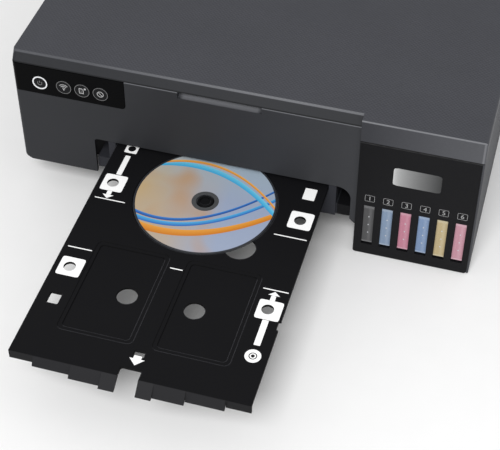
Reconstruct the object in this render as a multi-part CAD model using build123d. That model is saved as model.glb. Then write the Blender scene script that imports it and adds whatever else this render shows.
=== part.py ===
from build123d import *
import math
import os

# A six-colour photo printer that also prints on discs and plastic cards, with its disc tray out.
# Millimetres. +X is the printer's right, +Y its back, +Z up. The front faces -Y.
# The origin is on the surface it stands on, under the centre of the printer with its tray out.

# ---------------------------------------------------------------- driving dimensions
# case
WIDTH = 403.0
HEIGHT = 150.0
DEPTH = 366.0            # main front to back
WALL = 2.5
CORNER_R = 4.0           # upright corners of the case
FRONT_BOTTOM = 31.5      # lower edge of the main front above the table
SEAM_GAP = 0.4           # between the lid and what it closes on
LID_SKIRT = 9.3          # height of the lid's edge over the main front
LID_SLOPE = 6.0          # how far that edge leans back
LID_BACK = 112.0         # lid's rear edge ahead of the back
LID_EDGE_R = 1.0         # crisp front edges of the lid
LID_SIDE_R = 2.4         # its soft right edge
EDGE_LINE = 0.6          # bevel of the edges along the seam
LID_PLATE = 2.5
HINGE_SETBACK = 2.0      # lid hinge line ahead of the lid's rear edge
HINGE_DROP = 5.5         # lid hinge line below the lid's top
HINGE_PIN_R = 1.5
DECK_GAP = 4.5           # lid's rear edge to the rear deck

# base
FOOT_H = 4.0
FOOT_R = 9.0
BASE_RECESS = 48.0       # the base stands this far behind the main front
BASE_INSET = 4.0
BASE_CORNER_R = 5.0
FLOOR = 2.5
FOOT_WALL = 1.3          # walls of the base under the tank row

# ink tank unit
TANK_COUNT = 6
TANK_PITCH = 15.54
TANK_MARGIN = 7.26       # both sides of the row together
TANK_PROUD = 3.0         # its front stands this far ahead of the main front
TANK_SKIRT = 22.4        # height of the lid's edge over it
TANK_BAY = 80.0          # depth of its bay
TANK_PANEL_BOTTOM = 1.0
TANK_PANEL_R = 2.5       # its lower corners
FLANK_LIP = 1.8          # the right flank's edge beside the black front
TANK_GAP = 2.34          # between neighbouring tanks
TANK_LENGTH = 66.0
TANK_SETBACK = 4.0       # tank row behind the main front
TANK_BOTTOM = 8.0
TANK_HEADROOM = 42.0     # tanks' tops below the lid's top
WINDOW_BAR = 5.94        # between neighbouring windows
WINDOW_TOP = 58.1
WINDOW_BOTTOM = 12.2
NOSE_CLEARANCE = 0.3     # level window in its opening, each side
NOSE_BOTTOM = 14.6
NECK_R = 4.6
NECK_H = 6.0
CAP_R = 6.2
CAP_H = 5.0
CAP_PIN_R = 1.2

# control panel and buttons
PANEL_LENGTH = 100.5
PANEL_H = 29.8
PANEL_T = 1.8
PANEL_CORNER = 4.0
BUTTON_DROP = 17.7       # button centres below the seam
BUTTON_R = 7.2
POWER_BUTTON_R = 5.3
POWER_RING_R = 6.7
BUTTON_XS = {"power_button": 24.4, "wireless_button": 46.0, "status_button": 62.4, "cancel_button": 78.9}
BUTTON_PROUD = 0.4
BUTTON_LENGTH = 7.0
BUTTON_GAP = 0.3

# opening in the main front
SLOT_LEFT = 69.2         # left side to the opening
SLOT_RIGHT = 5.3         # opening to the tank unit
SLOT_OVER_TRAY = 4.0
SLOT_R_LEFT = 3.0
SLOT_R_RIGHT = 12.0
SCOOP_WIDTH = 72.0       # finger recess under the lid's edge
SCOOP_H = 6.3
SCOOP_DEPTH = 6.0

# disc tray
TRAY_SIDE = 19.5         # tray's edge to the side of the opening
TRAY_TOP = 66.5
TRAY_T = 2.4
TRAY_OUT = 234.3         # crease of its front lip ahead of the main front
TRAY_IN = 85.0           # its rear edge behind the main front
LIP_STEPS = (0.0, 3.6, 7.1, 9.7)         # reach of the lip's zones past the crease, from the sides inwards
LIP_SHARES = (0.794, 0.476, 0.217)       # where the zones meet, as shares of the half width
LIP_DROP = 8.4
LIP_T = 2.0
NOTCH_W = 16.5
NOTCH_DEPTH = 8.8
DISC_R = 60.0
DISC_BORE_R = 7.5
DISC_T = 1.2
DISC_OUT = 43.4          # disc centre ahead of the main front
DISC_CLEARANCE = 0.6
DISC_RECESS = 1.1
FINGER_HOLE_R = 12.9
CARD_W = 54.4
CARD_L = 87.9
CARD_RECESS = 0.8
CARD_OFFSET = 38.1       # card pocket from the centre line
CARD_OUT = 157.1
CARD_LEDGE = 3.4
PUSH_HOLE_R = 8.3
PUSH_HOLE_OFFSET = 27.4
MARK_INSET = 13.2        # registration holes from the tray's edges
MARK_HOLE_R = 4.9
MARK_OUTS = (43.5, 142.7)

# transport
GUIDE_REACH = 6.8        # outer face of a tray guide past the tray's edge
GUIDE_LEDGE = 8.5        # width of the ledge under the tray's edge
GUIDE_RAISE = 4.9        # guides' lower edge above the main front's
GUIDE_LENGTH = 56.0
RUN_GAP = 0.3            # between pieces that pass each other
PIN_CLEARANCE = 0.05     # radial, in a turning fit
PLATE_SETBACK = 1.0      # side plates' inner faces inside the opening's width
PLATE_T = 2.0
PLATE_OVER_ROLLER = 2.0
EXIT_Y = 67.0            # exit roller behind the main front
EXIT_R = 6.0
EXIT_SHAFT_R = 3.0
EXIT_COUNT = 7
FEED_Y = 148.0
FEED_R = 8.0
FEED_SHAFT_R = 4.0
PINCH_R = 4.2
PINCH_COUNT = 4
GEAR_MODULE = 1.0
FEED_TEETH = 40
IDLER_TEETH = 48
EXIT_TEETH = 28
PINION_TEETH = 12
GEAR_T = 7.0
IDLER_PIN_R = 3.0
GEAR_GAP = 28.2          # gear train's left face outside the left side plate

# carriage drive
HEAD_Y = 105.0           # print line behind the main front
RAIL_Y = 186.0
SHAFT_R = 4.0
SHAFT_BACK = 168.0
SHAFT_DROP = 50.0        # carriage rod below the lid's top
CARRIAGE_W = 66.0
CARRIAGE_INSET = 60.0    # parked carriage's centre from the right side
BELT_PITCH = 5.08
PULLEY_TEETH = 10
BELT_OVER_SHAFT = 14.0
BELT_W = 6.0
BELT_T = 1.2
PULLEY_INSET = 30.0
RAIL_LEFT = 10.0         # rail's ends inside the case
RAIL_RIGHT = 12.0
RAIL_DROP = 16.0         # rail's top edge below the lid's top
RAIL_UNDER = 21.0        # its lower edge below the carriage rod
MOTOR_SHAFT_R = 1.5
IDLER_STUD_R = 2.0

# output tray
OUTPUT_INSET = 10.0      # catch tray's edge inside the opening's side
OUTPUT_LENGTH = 180.0
OUTPUT_T = 3.9
OUTPUT_WEB = 1.2
OUTPUT_RAIL = 3.0
EXTENSION_T = 1.9

# rear feeder
CHEEK_SETBACK = 2.0      # feeder's cheeks inside the opening's width
HOPPER_LEAN = 40.0       # degrees back from upright
PICKUP_R = 14.0
SUPPORT_OVERHANG = 7.5   # flap's edge past the cheek
SUPPORT_T = 3.5
GUIDE_TRAVEL = 60.0
SHEET_MARGIN = 6.7       # cheek to the edge of the widest sheet
TONGUE_W = 8.0           # runner under each edge guide

# ---------------------------------------------------------------- places worked out from them
# y and z pairs are axes along X
LIP_REACH = max(LIP_STEPS)
FRONT = (TRAY_OUT + LIP_REACH - DEPTH) / 2
BACK = FRONT + DEPTH
LEFT = -WIDTH / 2
RIGHT = WIDTH / 2
SEAM_Z = HEIGHT - LID_SKIRT
BUTTON_Z = SEAM_Z - BUTTON_DROP
TANK_SEAM_Z = HEIGHT - TANK_SKIRT
TANK_WIDTH = TANK_COUNT * TANK_PITCH + TANK_MARGIN
TANK_W = TANK_PITCH - TANK_GAP
TANK_TOP = HEIGHT - TANK_HEADROOM
WINDOW_W = TANK_PITCH - WINDOW_BAR
NOSE_W = WINDOW_W - 2 * NOSE_CLEARANCE
TANK_X = RIGHT - TANK_WIDTH
TANK_FRONT = FRONT - TANK_PROUD
TANK_CENTRE = (TANK_X + RIGHT) / 2
TANK_REAR = FRONT + TANK_SETBACK + TANK_LENGTH
SLOT_WIDTH = WIDTH - TANK_WIDTH - SLOT_LEFT - SLOT_RIGHT
SLOT_TOP = TRAY_TOP + SLOT_OVER_TRAY
PATH_X = LEFT + SLOT_LEFT + SLOT_WIDTH / 2          # centre line of the paper and the tray
BASE_FLOOR = FOOT_H + FLOOR
LID_REAR = BACK - LID_BACK
HINGE_Y = LID_REAR - HINGE_SETBACK
HINGE_Z = HEIGHT - HINGE_DROP
DECK_Y = LID_REAR + DECK_GAP
LID_EARS = (LEFT + 60, RIGHT - 60)
TRAY_WIDTH = SLOT_WIDTH - 2 * TRAY_SIDE
TRAY_BOTTOM = TRAY_TOP - TRAY_T
MARK_OFFSET = TRAY_WIDTH / 2 - MARK_INSET
GUIDE_HALF = TRAY_WIDTH / 2 + GUIDE_REACH
GUIDE_BOTTOM = FRONT_BOTTOM + GUIDE_RAISE
ROLLER_TOP = TRAY_BOTTOM - RUN_GAP
TRAY_OVER = TRAY_TOP + 0.4               # the disc stands proud of the tray by less than this
PULLEY_R = PULLEY_TEETH * BELT_PITCH / (2 * math.pi)
EXIT_AXIS = (FRONT + EXIT_Y, ROLLER_TOP - EXIT_R)
FEED_AXIS = (FRONT + FEED_Y, ROLLER_TOP - FEED_R)
PLATE_HALF = SLOT_WIDTH / 2 - PLATE_SETBACK          # side plates' inner faces from the centre line
PLATE_TOP = ROLLER_TOP + PLATE_OVER_ROLLER
PLATES_BACK = FRONT + RAIL_Y + PLATE_T
GEAR_LEFT = PATH_X - PLATE_HALF - PLATE_T - GEAR_GAP
GEAR_RIGHT = GEAR_LEFT + GEAR_T
MOTOR_X = GEAR_RIGHT + 4
PINION_ANGLE = math.radians(-40)
PINION_REACH = GEAR_MODULE * (FEED_TEETH + PINION_TEETH) / 2
PINION_AXIS = (FEED_AXIS[0] + PINION_REACH * math.cos(PINION_ANGLE),
               FEED_AXIS[1] + PINION_REACH * math.sin(PINION_ANGLE))
SHAFT_Z = HEIGHT - SHAFT_DROP
BELT_Y = FRONT + RAIL_Y - 3 - BELT_W
BELT_Z = SHAFT_Z + BELT_OVER_SHAFT
PULLEY_LEFT = LEFT + PULLEY_INSET
PULLEY_RIGHT = RIGHT - PULLEY_INSET
RAIL_TOP = HEIGHT - RAIL_DROP
RAIL_BOTTOM = SHAFT_Z - RAIL_UNDER
STRIP_Y = FRONT + SHAFT_BACK + 2
CARRIAGE_X = RIGHT - CARRIAGE_INSET
TUBE_R = 1.1
TUBE_PITCH = 2.6
TUBE_Y = TANK_REAR + 5
TUBE_LOW = TANK_TOP - 12
TUBE_Z = TANK_TOP + 4
TUBE_END = TANK_X - 45
CAP_Y = FRONT + 24
CAP_HINGE_Y = CAP_Y + 16
CAP_HINGE_Z = TANK_TOP + NECK_H - 1
CAP_ARM_W = 7.0
INLET_X = (LEFT + 24, LEFT + 48)
INLET_Z = (56.0, 72.0)
OUTPUT_HALF = SLOT_WIDTH / 2 - OUTPUT_INSET
CHEEK_HALF = SLOT_WIDTH / 2 - CHEEK_SETBACK
SUPPORT_HALF = CHEEK_HALF + SUPPORT_OVERHANG
SUPPORT_AXIS = (BACK - 7, HEIGHT - 7)
SHEET_HALF = CHEEK_HALF - SHEET_MARGIN
BOARD_X = (PATH_X - CHEEK_HALF + 22, PATH_X + CHEEK_HALF - 22)
BOARD_Y = (FRONT + RAIL_Y + 14, BACK - 16)
BOARD_Z = BASE_FLOOR + 5.5
SOCKET_X = (BOARD_X[1] - 30, BOARD_X[1] - 17)
SOCKET_Z = (BOARD_Z + 1.4, BOARD_Z + 13.4)
SLOPE_FOOT = (BACK - 76, TRAY_TOP + 5.5)
SLOPE_LENGTH = (HEIGHT - 18.25 - SLOPE_FOOT[1]) / math.cos(math.radians(HOPPER_LEAN))
FENCE_ALONG = SLOPE_LENGTH * 2 / 3
TONGUE_X = SHEET_HALF - 1.8
PICKUP_ALONG = 24.0
LEAN_SIN = math.sin(math.radians(HOPPER_LEAN))
LEAN_COS = math.cos(math.radians(HOPPER_LEAN))
PICKUP_AXIS = (SLOPE_FOOT[0] + PICKUP_ALONG * LEAN_SIN - (PICKUP_R + 1) * LEAN_COS,
               SLOPE_FOOT[1] + PICKUP_ALONG * LEAN_COS + (PICKUP_R + 1) * LEAN_SIN)
WINDOWS = (
    (9.0 - TRAY_WIDTH / 2, 18.5 - TRAY_WIDTH / 2, 182.3, 171.0),        # left column, small window
    (-3.2, 5.2, 214.0, 208.2),                                          # over the arrow at the notch
)


# ---------------------------------------------------------------- small makers
def block(x0, x1, y0, y1, z0, z1):
    """A box between two corners."""
    return Pos((x0 + x1) / 2, (y0 + y1) / 2, (z0 + z1) / 2) * Box(x1 - x0, y1 - y0, z1 - z0)


def slab(x0, x1, y0, y1, z0, z1, radius):
    """A box with rounded upright corners."""
    outline = RectangleRounded(x1 - x0, y1 - y0, radius)
    return Pos((x0 + x1) / 2, (y0 + y1) / 2, z0) * extrude(outline, z1 - z0)


def rod_x(x0, x1, y, z, radius):
    """A cylinder along X."""
    return Pos((x0 + x1) / 2, y, z) * Rot(0, 90, 0) * Cylinder(radius, x1 - x0)


def rod_y(x, y0, y1, z, radius):
    """A cylinder along Y."""
    return Pos(x, (y0 + y1) / 2, z) * Rot(90, 0, 0) * Cylinder(radius, y1 - y0)


def rod_z(x, y, z0, z1, radius):
    """A cylinder along Z."""
    return Pos(x, y, (z0 + z1) / 2) * Cylinder(radius, z1 - z0)


def along_x(points, x0, x1):
    """A (y, z) outline carried along X."""
    face = make_face(Polyline([(0, y, z) for y, z in points], close=True))
    return Pos(x0, 0, 0) * extrude(face, x1 - x0, dir=(1, 0, 0))


def along_y(points, y0, y1):
    """An (x, z) outline carried along Y."""
    face = make_face(Polyline([(x, 0, z) for x, z in points], close=True))
    return Pos(0, y0, 0) * extrude(face, y1 - y0, dir=(0, 1, 0))


def gear_outline(teeth, module):
    """A spur gear's outline: each tooth is a straight-sided flank pair on the pitch circle."""
    pitch_r = teeth * module / 2
    tip, root = pitch_r + 0.9 * module, pitch_r - 1.15 * module
    step = 2 * math.pi / teeth
    points = []
    for tooth in range(teeth):
        for radius, share in ((root, -0.32), (tip, -0.11), (tip, 0.11), (root, 0.32)):
            angle = (tooth + share) * step
            points.append((radius * math.cos(angle), radius * math.sin(angle)))
    return make_face(Polyline(points, close=True))


def gear_x(teeth, x0, x1, axis, turn, bore_r):
    """A spur gear on an axis along X, turned by a share of a tooth, with a bore and a thinned web."""
    blank = extrude(gear_outline(teeth, GEAR_MODULE), x1 - x0)
    rim_r = teeth * GEAR_MODULE / 2 - 3.2
    if rim_r > bore_r + 5:
        dish = Cylinder(rim_r, GEAR_T / 3) - Cylinder(bore_r + 3, GEAR_T)
        blank -= Pos(0, 0, x1 - x0 - GEAR_T / 6) * dish
    blank -= Cylinder(bore_r, 4 * GEAR_T)
    return Pos(x0, axis[0], axis[1]) * Rot(0, 90, 0) * Rot(0, 0, turn) * blank


# ---------------------------------------------------------------- case
def case_outline(inset):
    """The case's plan outline, set in by the given wall."""
    corner = max(CORNER_R - inset, 0.5)
    plan = RectangleRounded(WIDTH - 2 * inset, DEPTH - 2 * inset, corner)
    return Pos(0, (FRONT + BACK) / 2) * plan


def slot_cutter():
    """The opening in the main front, open downwards, with its own radius at each upper corner."""
    x0, x1 = PATH_X - SLOT_WIDTH / 2, PATH_X + SLOT_WIDTH / 2
    height = SLOT_TOP - FRONT_BOTTOM + 2
    shape = block(x0, x1, FRONT - 1, FRONT + WALL + 1, SLOT_TOP - height, SLOT_TOP)
    top_edges = shape.edges().filter_by(Axis.Y).group_by(Axis.Z)[-1].sort_by(Axis.X)
    shape = fillet(top_edges[-1], SLOT_R_RIGHT)
    return fillet(shape.edges().filter_by(Axis.Y).group_by(Axis.Z)[-1].sort_by(Axis.X)[0], SLOT_R_LEFT)


def scoop_cutter():
    """The finger recess: its floor runs in level and sweeps up in an arc, and its ends are round."""
    x0, x1 = PATH_X - SCOOP_WIDTH / 2, PATH_X + SCOOP_WIDTH / 2
    low, high = SEAM_Z - SCOOP_H, SEAM_Z + 1
    back = FRONT + SCOOP_DEPTH
    reach, rise = SCOOP_DEPTH - 0.5, SCOOP_H - 0.7
    straights = Polyline((0, back, low + rise), (0, back, high), (0, FRONT - 1, high),
                         (0, FRONT - 1, low), (0, FRONT + 0.5, low))
    floor = ThreePointArc((0, FRONT + 0.5, low), (0, back - 0.29 * reach, low + 0.29 * rise),
                          (0, back, low + rise))
    section = make_face([*straights.edges(), floor])
    sweep_along = Pos(x0, 0, 0) * extrude(section, x1 - x0, dir=(1, 0, 0))
    ends = slab(x0, x1, FRONT - SCOOP_DEPTH, back, low - 1, high, 3.0)
    return sweep_along & ends


def front_top_edges(shell):
    """The top edges of the main front's face along the seam, which catch the light."""
    edges = shell.edges().filter_by(Axis.X).group_by(Axis.Y)[0]
    return [edge for edge in edges if abs(edge.center().Z - SEAM_Z) < 0.01 and edge.length > 20]


def panel_zone(depth, gap):
    """The skin of the case that the control panel takes up, round the left front corner."""
    ring = extrude(case_outline(0) - case_outline(depth), SEAM_Z)
    zone = block(LEFT - 1, LEFT + PANEL_LENGTH + gap, FRONT - 1, FRONT + CORNER_R + 1,
                 SEAM_Z - PANEL_H - gap, SEAM_Z + 1)
    corner = zone.edges().filter_by(Axis.Y).group_by(Axis.Z)[0].sort_by(Axis.X)[-1]
    return ring & fillet(corner, PANEL_CORNER)


def upper_housing():
    slot_right = PATH_X + SLOT_WIDTH / 2
    shell = Pos(0, 0, FRONT_BOTTOM) * extrude(case_outline(0), SEAM_Z - FRONT_BOTTOM)
    shell -= Pos(0, 0, FRONT_BOTTOM - 1) * extrude(case_outline(WALL), HEIGHT)
    # rear deck, level with the lid, with its front wall and the feeder's mouth
    deck = Pos(0, 0, SEAM_Z - WALL) * extrude(case_outline(0), HEIGHT - SEAM_Z + WALL)
    deck &= block(LEFT, RIGHT, DECK_Y, BACK, 0, HEIGHT)
    deck = chamfer(deck.edges().group_by(Axis.Z)[-1], 1.5)
    inner = Pos(0, 0, SEAM_Z - WALL - 1) * extrude(case_outline(WALL), LID_SKIRT + 1)
    deck -= inner & block(LEFT, RIGHT, DECK_Y + WALL, BACK, 0, HEIGHT)
    shell += deck
    shell += block(LEFT + WALL, RIGHT - WALL, DECK_Y, DECK_Y + WALL, SEAM_Z - 32, SEAM_Z)
    mouth = SUPPORT_HALF + 1
    for side in (-1, 1):
        x = PATH_X + side * (mouth + 1)
        shell += block(x - 1, x + 1, DECK_Y + WALL, BACK - WALL, SEAM_Z - 20, HEIGHT - 1)
    shell -= block(PATH_X - mouth, PATH_X + mouth, DECK_Y - 1, BACK + 1, SEAM_Z - 6, HEIGHT + 1)
    pin = rod_x(PATH_X - mouth - 3, PATH_X + mouth + 3, *SUPPORT_AXIS, HINGE_PIN_R + PIN_CLEARANCE)
    shell -= pin
    # hinge ears for the lid
    for x in LID_EARS:
        ear = along_x([(HINGE_Y - 2.6, SEAM_Z - 12), (DECK_Y, SEAM_Z - 22), (DECK_Y, SEAM_Z - 8),
                       (HINGE_Y + 2.6, SEAM_Z - 4), (HINGE_Y + 2.6, HINGE_Z), (HINGE_Y - 2.6, HINGE_Z)],
                      x - 2, x + 2)
        ear += rod_x(x - 2, x + 2, HINGE_Y, HINGE_Z, 2.6)
        shell += ear - rod_x(x - 3, x + 3, HINGE_Y, HINGE_Z, HINGE_PIN_R + PIN_CLEARANCE)
    # bay for the ink tanks, and the side that the right cover closes
    bay_side, bay_rear = TANK_X - SEAM_GAP, FRONT + TANK_BAY
    shell -= block(bay_side, RIGHT + 1, FRONT - 1, bay_rear, 0, SEAM_Z + 1)
    shell -= block(RIGHT - WALL - 0.01, RIGHT + 1, FRONT - 1, BACK - CORNER_R, 0, SEAM_Z + 0.01)
    shell += block(bay_side - WALL, bay_side, FRONT, bay_rear, FRONT_BOTTOM, TANK_SEAM_Z)
    shell += block(bay_side - WALL, RIGHT - WALL - FLOOR - 1, bay_rear - WALL, bay_rear,
                   FRONT_BOTTOM, TANK_TOP - 50)
    shell -= block(bay_side - WALL - 1, bay_side + 1, TANK_REAR - 1, bay_rear - 0.5, TUBE_Z - 2, SEAM_Z)
    # arm that carries the ink tubes as far as their joint block
    arm = (TUBE_Y - 4, TUBE_Y + 4, TUBE_Z - 4)
    shell += block(TUBE_END - 10, bay_side - 1, *arm, TUBE_Z - TUBE_R - RUN_GAP)
    shell += block(TUBE_END - 10, TUBE_END, *arm, TUBE_Z + TANK_COUNT * TUBE_PITCH)
    # the left side's lower edge is cut back, and so is the front's where it meets the tank unit
    corner = [(LEFT - 1, FRONT_BOTTOM - 1), (LEFT + 9, FRONT_BOTTOM - 1), (LEFT - 1, FRONT_BOTTOM + 4.5)]
    shell -= along_y(corner, FRONT - 1, BACK + 1)
    corner = [(slot_right - 1, FRONT_BOTTOM - 1), (TANK_X, FRONT_BOTTOM - 1),
              (slot_right - 1, FRONT_BOTTOM + 5)]
    shell -= along_y(corner, FRONT - 1, FRONT + WALL)
    shell -= slot_cutter()
    shell -= panel_zone(PANEL_T, SEAM_GAP / 2)
    for name, offset in BUTTON_XS.items():
        hole = POWER_RING_R if name == "power_button" else BUTTON_R + BUTTON_GAP
        shell -= rod_y(LEFT + offset, FRONT, FRONT + 2 * WALL, BUTTON_Z, hole)
    # finger recess under the lid's edge, in a thickened stretch of the front
    half = SCOOP_WIDTH / 2 + WALL
    shell += block(PATH_X - half, PATH_X + half, FRONT + WALL, FRONT + SCOOP_DEPTH + WALL,
                   SEAM_Z - 2 * SCOOP_H, SEAM_Z)
    shell -= scoop_cutter()
    shell = chamfer(front_top_edges(shell), EDGE_LINE)
    # rear: openings for the power inlet and the board's socket
    shell -= block(*INLET_X, BACK - WALL - 1, BACK + 1, *INLET_Z)
    return shell


def right_side_cover():
    """The right flank: one tall panel from the tank front to the back, with a turned-in lower edge."""
    top = SEAM_Z
    side = block(RIGHT - FLANK_LIP + 0.2, RIGHT, TANK_FRONT + 0.2, BACK - CORNER_R, TANK_PANEL_BOTTOM, top)
    edge = side.edges().filter_by(Axis.Z).group_by(Axis.Y)[0].sort_by(Axis.X)[-1]
    side = fillet(edge, FLANK_LIP - 0.4)
    side += block(RIGHT - WALL, RIGHT - 1, TANK_FRONT + WALL + 0.1, BACK - CORNER_R, TANK_PANEL_BOTTOM, top)
    side -= block(RIGHT - WALL - 1, RIGHT + 1, TANK_FRONT - 1, FRONT + TANK_BAY, TANK_SEAM_Z, top + 1)
    edge = side.edges().filter_by(Axis.Y).group_by(Axis.Z)[0].sort_by(Axis.X)[-1]
    side = fillet(edge, 1.0)
    for z in (36.0, 96.0):
        side += block(RIGHT - WALL - 3, RIGHT - WALL, FRONT + 90, BACK - 30, z, z + 2)
    return side


def base_pan():
    rear = BACK - BASE_INSET
    x0, x1 = LEFT + BASE_INSET, RIGHT - WALL - 0.5
    outer = slab(x0, x1, FRONT + BASE_RECESS, rear, FOOT_H, FRONT_BOTTOM, BASE_CORNER_R)
    outer += block(TANK_X + WALL + 0.5, x1, FRONT + 1, FRONT + BASE_RECESS + 6, FOOT_H, FRONT_BOTTOM)
    inner = slab(x0 + FLOOR, x1 - FLOOR, FRONT + BASE_RECESS + FLOOR, rear - FLOOR, BASE_FLOOR, HEIGHT, 3.0)
    inner += block(TANK_X + WALL + 0.5 + FOOT_WALL, x1 - FOOT_WALL, FRONT + 1 + FOOT_WALL, FRONT + TANK_BAY,
                   BASE_FLOOR, HEIGHT)
    pan = outer - inner
    pan -= block(TANK_X + WALL + 0.5 + FOOT_WALL, x1 - FOOT_WALL, FRONT, FRONT + 3, NOSE_BOTTOM - 1, HEIGHT)
    # ledge that carries the tank row, and posts for the circuit board
    pan += block(TANK_CENTRE - 46, TANK_CENTRE + 46, FRONT + 8, FRONT + 64, FOOT_H + 1, TANK_BOTTOM)
    for x in BOARD_X:
        for y in BOARD_Y:
            step_x = 6 if x == BOARD_X[0] else -6
            step_y = 6 if y == BOARD_Y[0] else -6
            pan += rod_z(x + step_x, y + step_y, BASE_FLOOR, BOARD_Z, 3.0)
    # stiffening ribs and the socket's opening
    for share in (0.15, 0.3, 0.45, 0.6):
        x = LEFT + WIDTH * share
        pan += block(x - 1, x + 1, FRONT + BASE_RECESS + 12, BOARD_Y[0] - 1, BASE_FLOOR, BASE_FLOOR + 6)
    pan -= block(*SOCKET_X, rear - FLOOR - 1, rear + 1, *SOCKET_Z)
    # the case sits on this rim
    rim = slab(LEFT + WALL, RIGHT - WALL, FRONT + TANK_BAY, BACK - WALL,
               FRONT_BOTTOM, FRONT_BOTTOM + 4, CORNER_R - WALL)
    rim -= slab(x0 + FLOOR, x1 - FLOOR, FRONT + BASE_RECESS - 10, rear - FLOOR,
                FRONT_BOTTOM - 1, FRONT_BOTTOM + 6, 3.0)
    return pan + rim


def rubber_feet():
    feet = []
    for x in (LEFT + 34, RIGHT - 22):
        for y in (FRONT + BASE_RECESS + 20, BACK - 26):
            feet.append(chamfer(rod_z(x, y, 0, FOOT_H, FOOT_R).edges().group_by(Axis.Z)[0], 1.0))
    y = FRONT + 16
    feet.append(chamfer(rod_z(RIGHT - 22, y, 0, FOOT_H, FOOT_R).edges().group_by(Axis.Z)[0], 1.0))
    return Compound(children=feet)


def lid():
    over_tank = block(TANK_X, RIGHT, TANK_FRONT, FRONT + TANK_BAY, TANK_SEAM_Z + SEAM_GAP, HEIGHT)
    top_right = over_tank.edges().filter_by(Axis.Y).group_by(Axis.Z)[-1].sort_by(Axis.X)[-1]
    over_tank = fillet(top_right, LID_SIDE_R)
    front_edges = [edge for edge in over_tank.edges().group_by(Axis.Y)[0]
                   if edge.center().X > TANK_X + 1 and edge.center().Z > TANK_SEAM_Z + SEAM_GAP + 1]
    over_tank = fillet(front_edges, LID_EDGE_R)
    side = [(FRONT, SEAM_Z + SEAM_GAP), (FRONT + LID_SLOPE, HEIGHT), (LID_REAR, HEIGHT),
            (LID_REAR, SEAM_Z + SEAM_GAP)]
    main = along_x(side, LEFT, RIGHT)
    left_front = main.edges().group_by(Axis.X)[0].sort_by(Axis.Y)[0]
    main = fillet(left_front, CORNER_R)
    top_right = main.edges().filter_by(Axis.Y).group_by(Axis.Z)[-1].sort_by(Axis.X)[-1]
    main = fillet(top_right, LID_SIDE_R)
    top_front = main.edges().filter_by(Axis.X).group_by(Axis.Z)[-1].sort_by(Axis.Y)[0]
    main = fillet(top_front, LID_EDGE_R)
    solid = main + over_tank
    # the hollow under the plate
    under = HEIGHT - LID_PLATE
    x0, x1 = TANK_X + LID_PLATE, RIGHT - LID_PLATE
    solid -= along_x([(FRONT + LID_PLATE, 0), (FRONT + LID_PLATE, SEAM_Z + 1),
                      (FRONT + LID_SLOPE + 1.5, under),
                      (HINGE_Y - 4, under), (HINGE_Y - 4, 0)], LEFT + LID_PLATE, x1)
    solid -= block(x0, x1, TANK_FRONT + LID_PLATE, FRONT + TANK_BAY - LID_PLATE, 0, under)
    solid -= block(LEFT - 1, RIGHT + 1, HINGE_Y - 4.01, LID_REAR + 1, 0, HINGE_Z + 3)
    # the main part of the edge stops short of the tank's own skirt
    solid -= block(x0, x1, FRONT + TANK_BAY - LID_PLATE - 1, FRONT + TANK_BAY + 1, 0, SEAM_Z + SEAM_GAP)
    for offset in (0.25, 0.5, 0.75):
        x = LEFT + WIDTH * offset
        solid += block(x - 1, x + 1, FRONT + 40, HINGE_Y - 30, under - 3, under)
    # hinge knuckles with their pins
    for x in LID_EARS:
        side_sign = 1 if x < 0 else -1
        inner_x = x + side_sign * (2 + RUN_GAP)
        outer_x = inner_x + side_sign * 6
        low, high = min(inner_x, outer_x), max(inner_x, outer_x)
        knuckle = rod_x(low, high, HINGE_Y, HINGE_Z, 2.4)
        knuckle += block(low, high, HINGE_Y - 2.4, HINGE_Y + 1.0, HINGE_Z, under)
        far = x - side_sign * 1.5
        solid += knuckle + rod_x(min(far, outer_x), max(far, outer_x), HINGE_Y, HINGE_Z, HINGE_PIN_R)
    return solid


# ---------------------------------------------------------------- control panel
def control_panel():
    skin = panel_zone(PANEL_T - 0.1, -SEAM_GAP / 2) & block(LEFT - 1, RIGHT, FRONT - 1, BACK, 0, SEAM_Z - 0.2)
    for name, offset in BUTTON_XS.items():
        hole = POWER_RING_R if name == "power_button" else BUTTON_R + BUTTON_GAP
        skin -= rod_y(LEFT + offset, FRONT - 2, FRONT + 2 * WALL, BUTTON_Z, hole)
    return skin


def power_ring():
    x = LEFT + BUTTON_XS["power_button"]
    ring = rod_y(x, FRONT - 0.3, FRONT + WALL, BUTTON_Z, POWER_RING_R)
    return ring - rod_y(x, FRONT - 1, FRONT + 2 * WALL, BUTTON_Z, POWER_BUTTON_R + BUTTON_GAP)


def button(name):
    x = LEFT + BUTTON_XS[name]
    radius = POWER_BUTTON_R if name == "power_button" else BUTTON_R
    key = rod_y(x, FRONT - BUTTON_PROUD, FRONT + WALL - 0.5, BUTTON_Z, radius)
    key = chamfer(key.edges().group_by(Axis.Y)[0], 0.3)
    return key + rod_y(x, FRONT + 1, FRONT + BUTTON_LENGTH, BUTTON_Z, 2.0)


# ---------------------------------------------------------------- ink tank unit
def tank_x(index):
    """Centre of a tank, from the left."""
    return TANK_CENTRE + (index - (TANK_COUNT - 1) / 2) * TANK_PITCH


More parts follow.
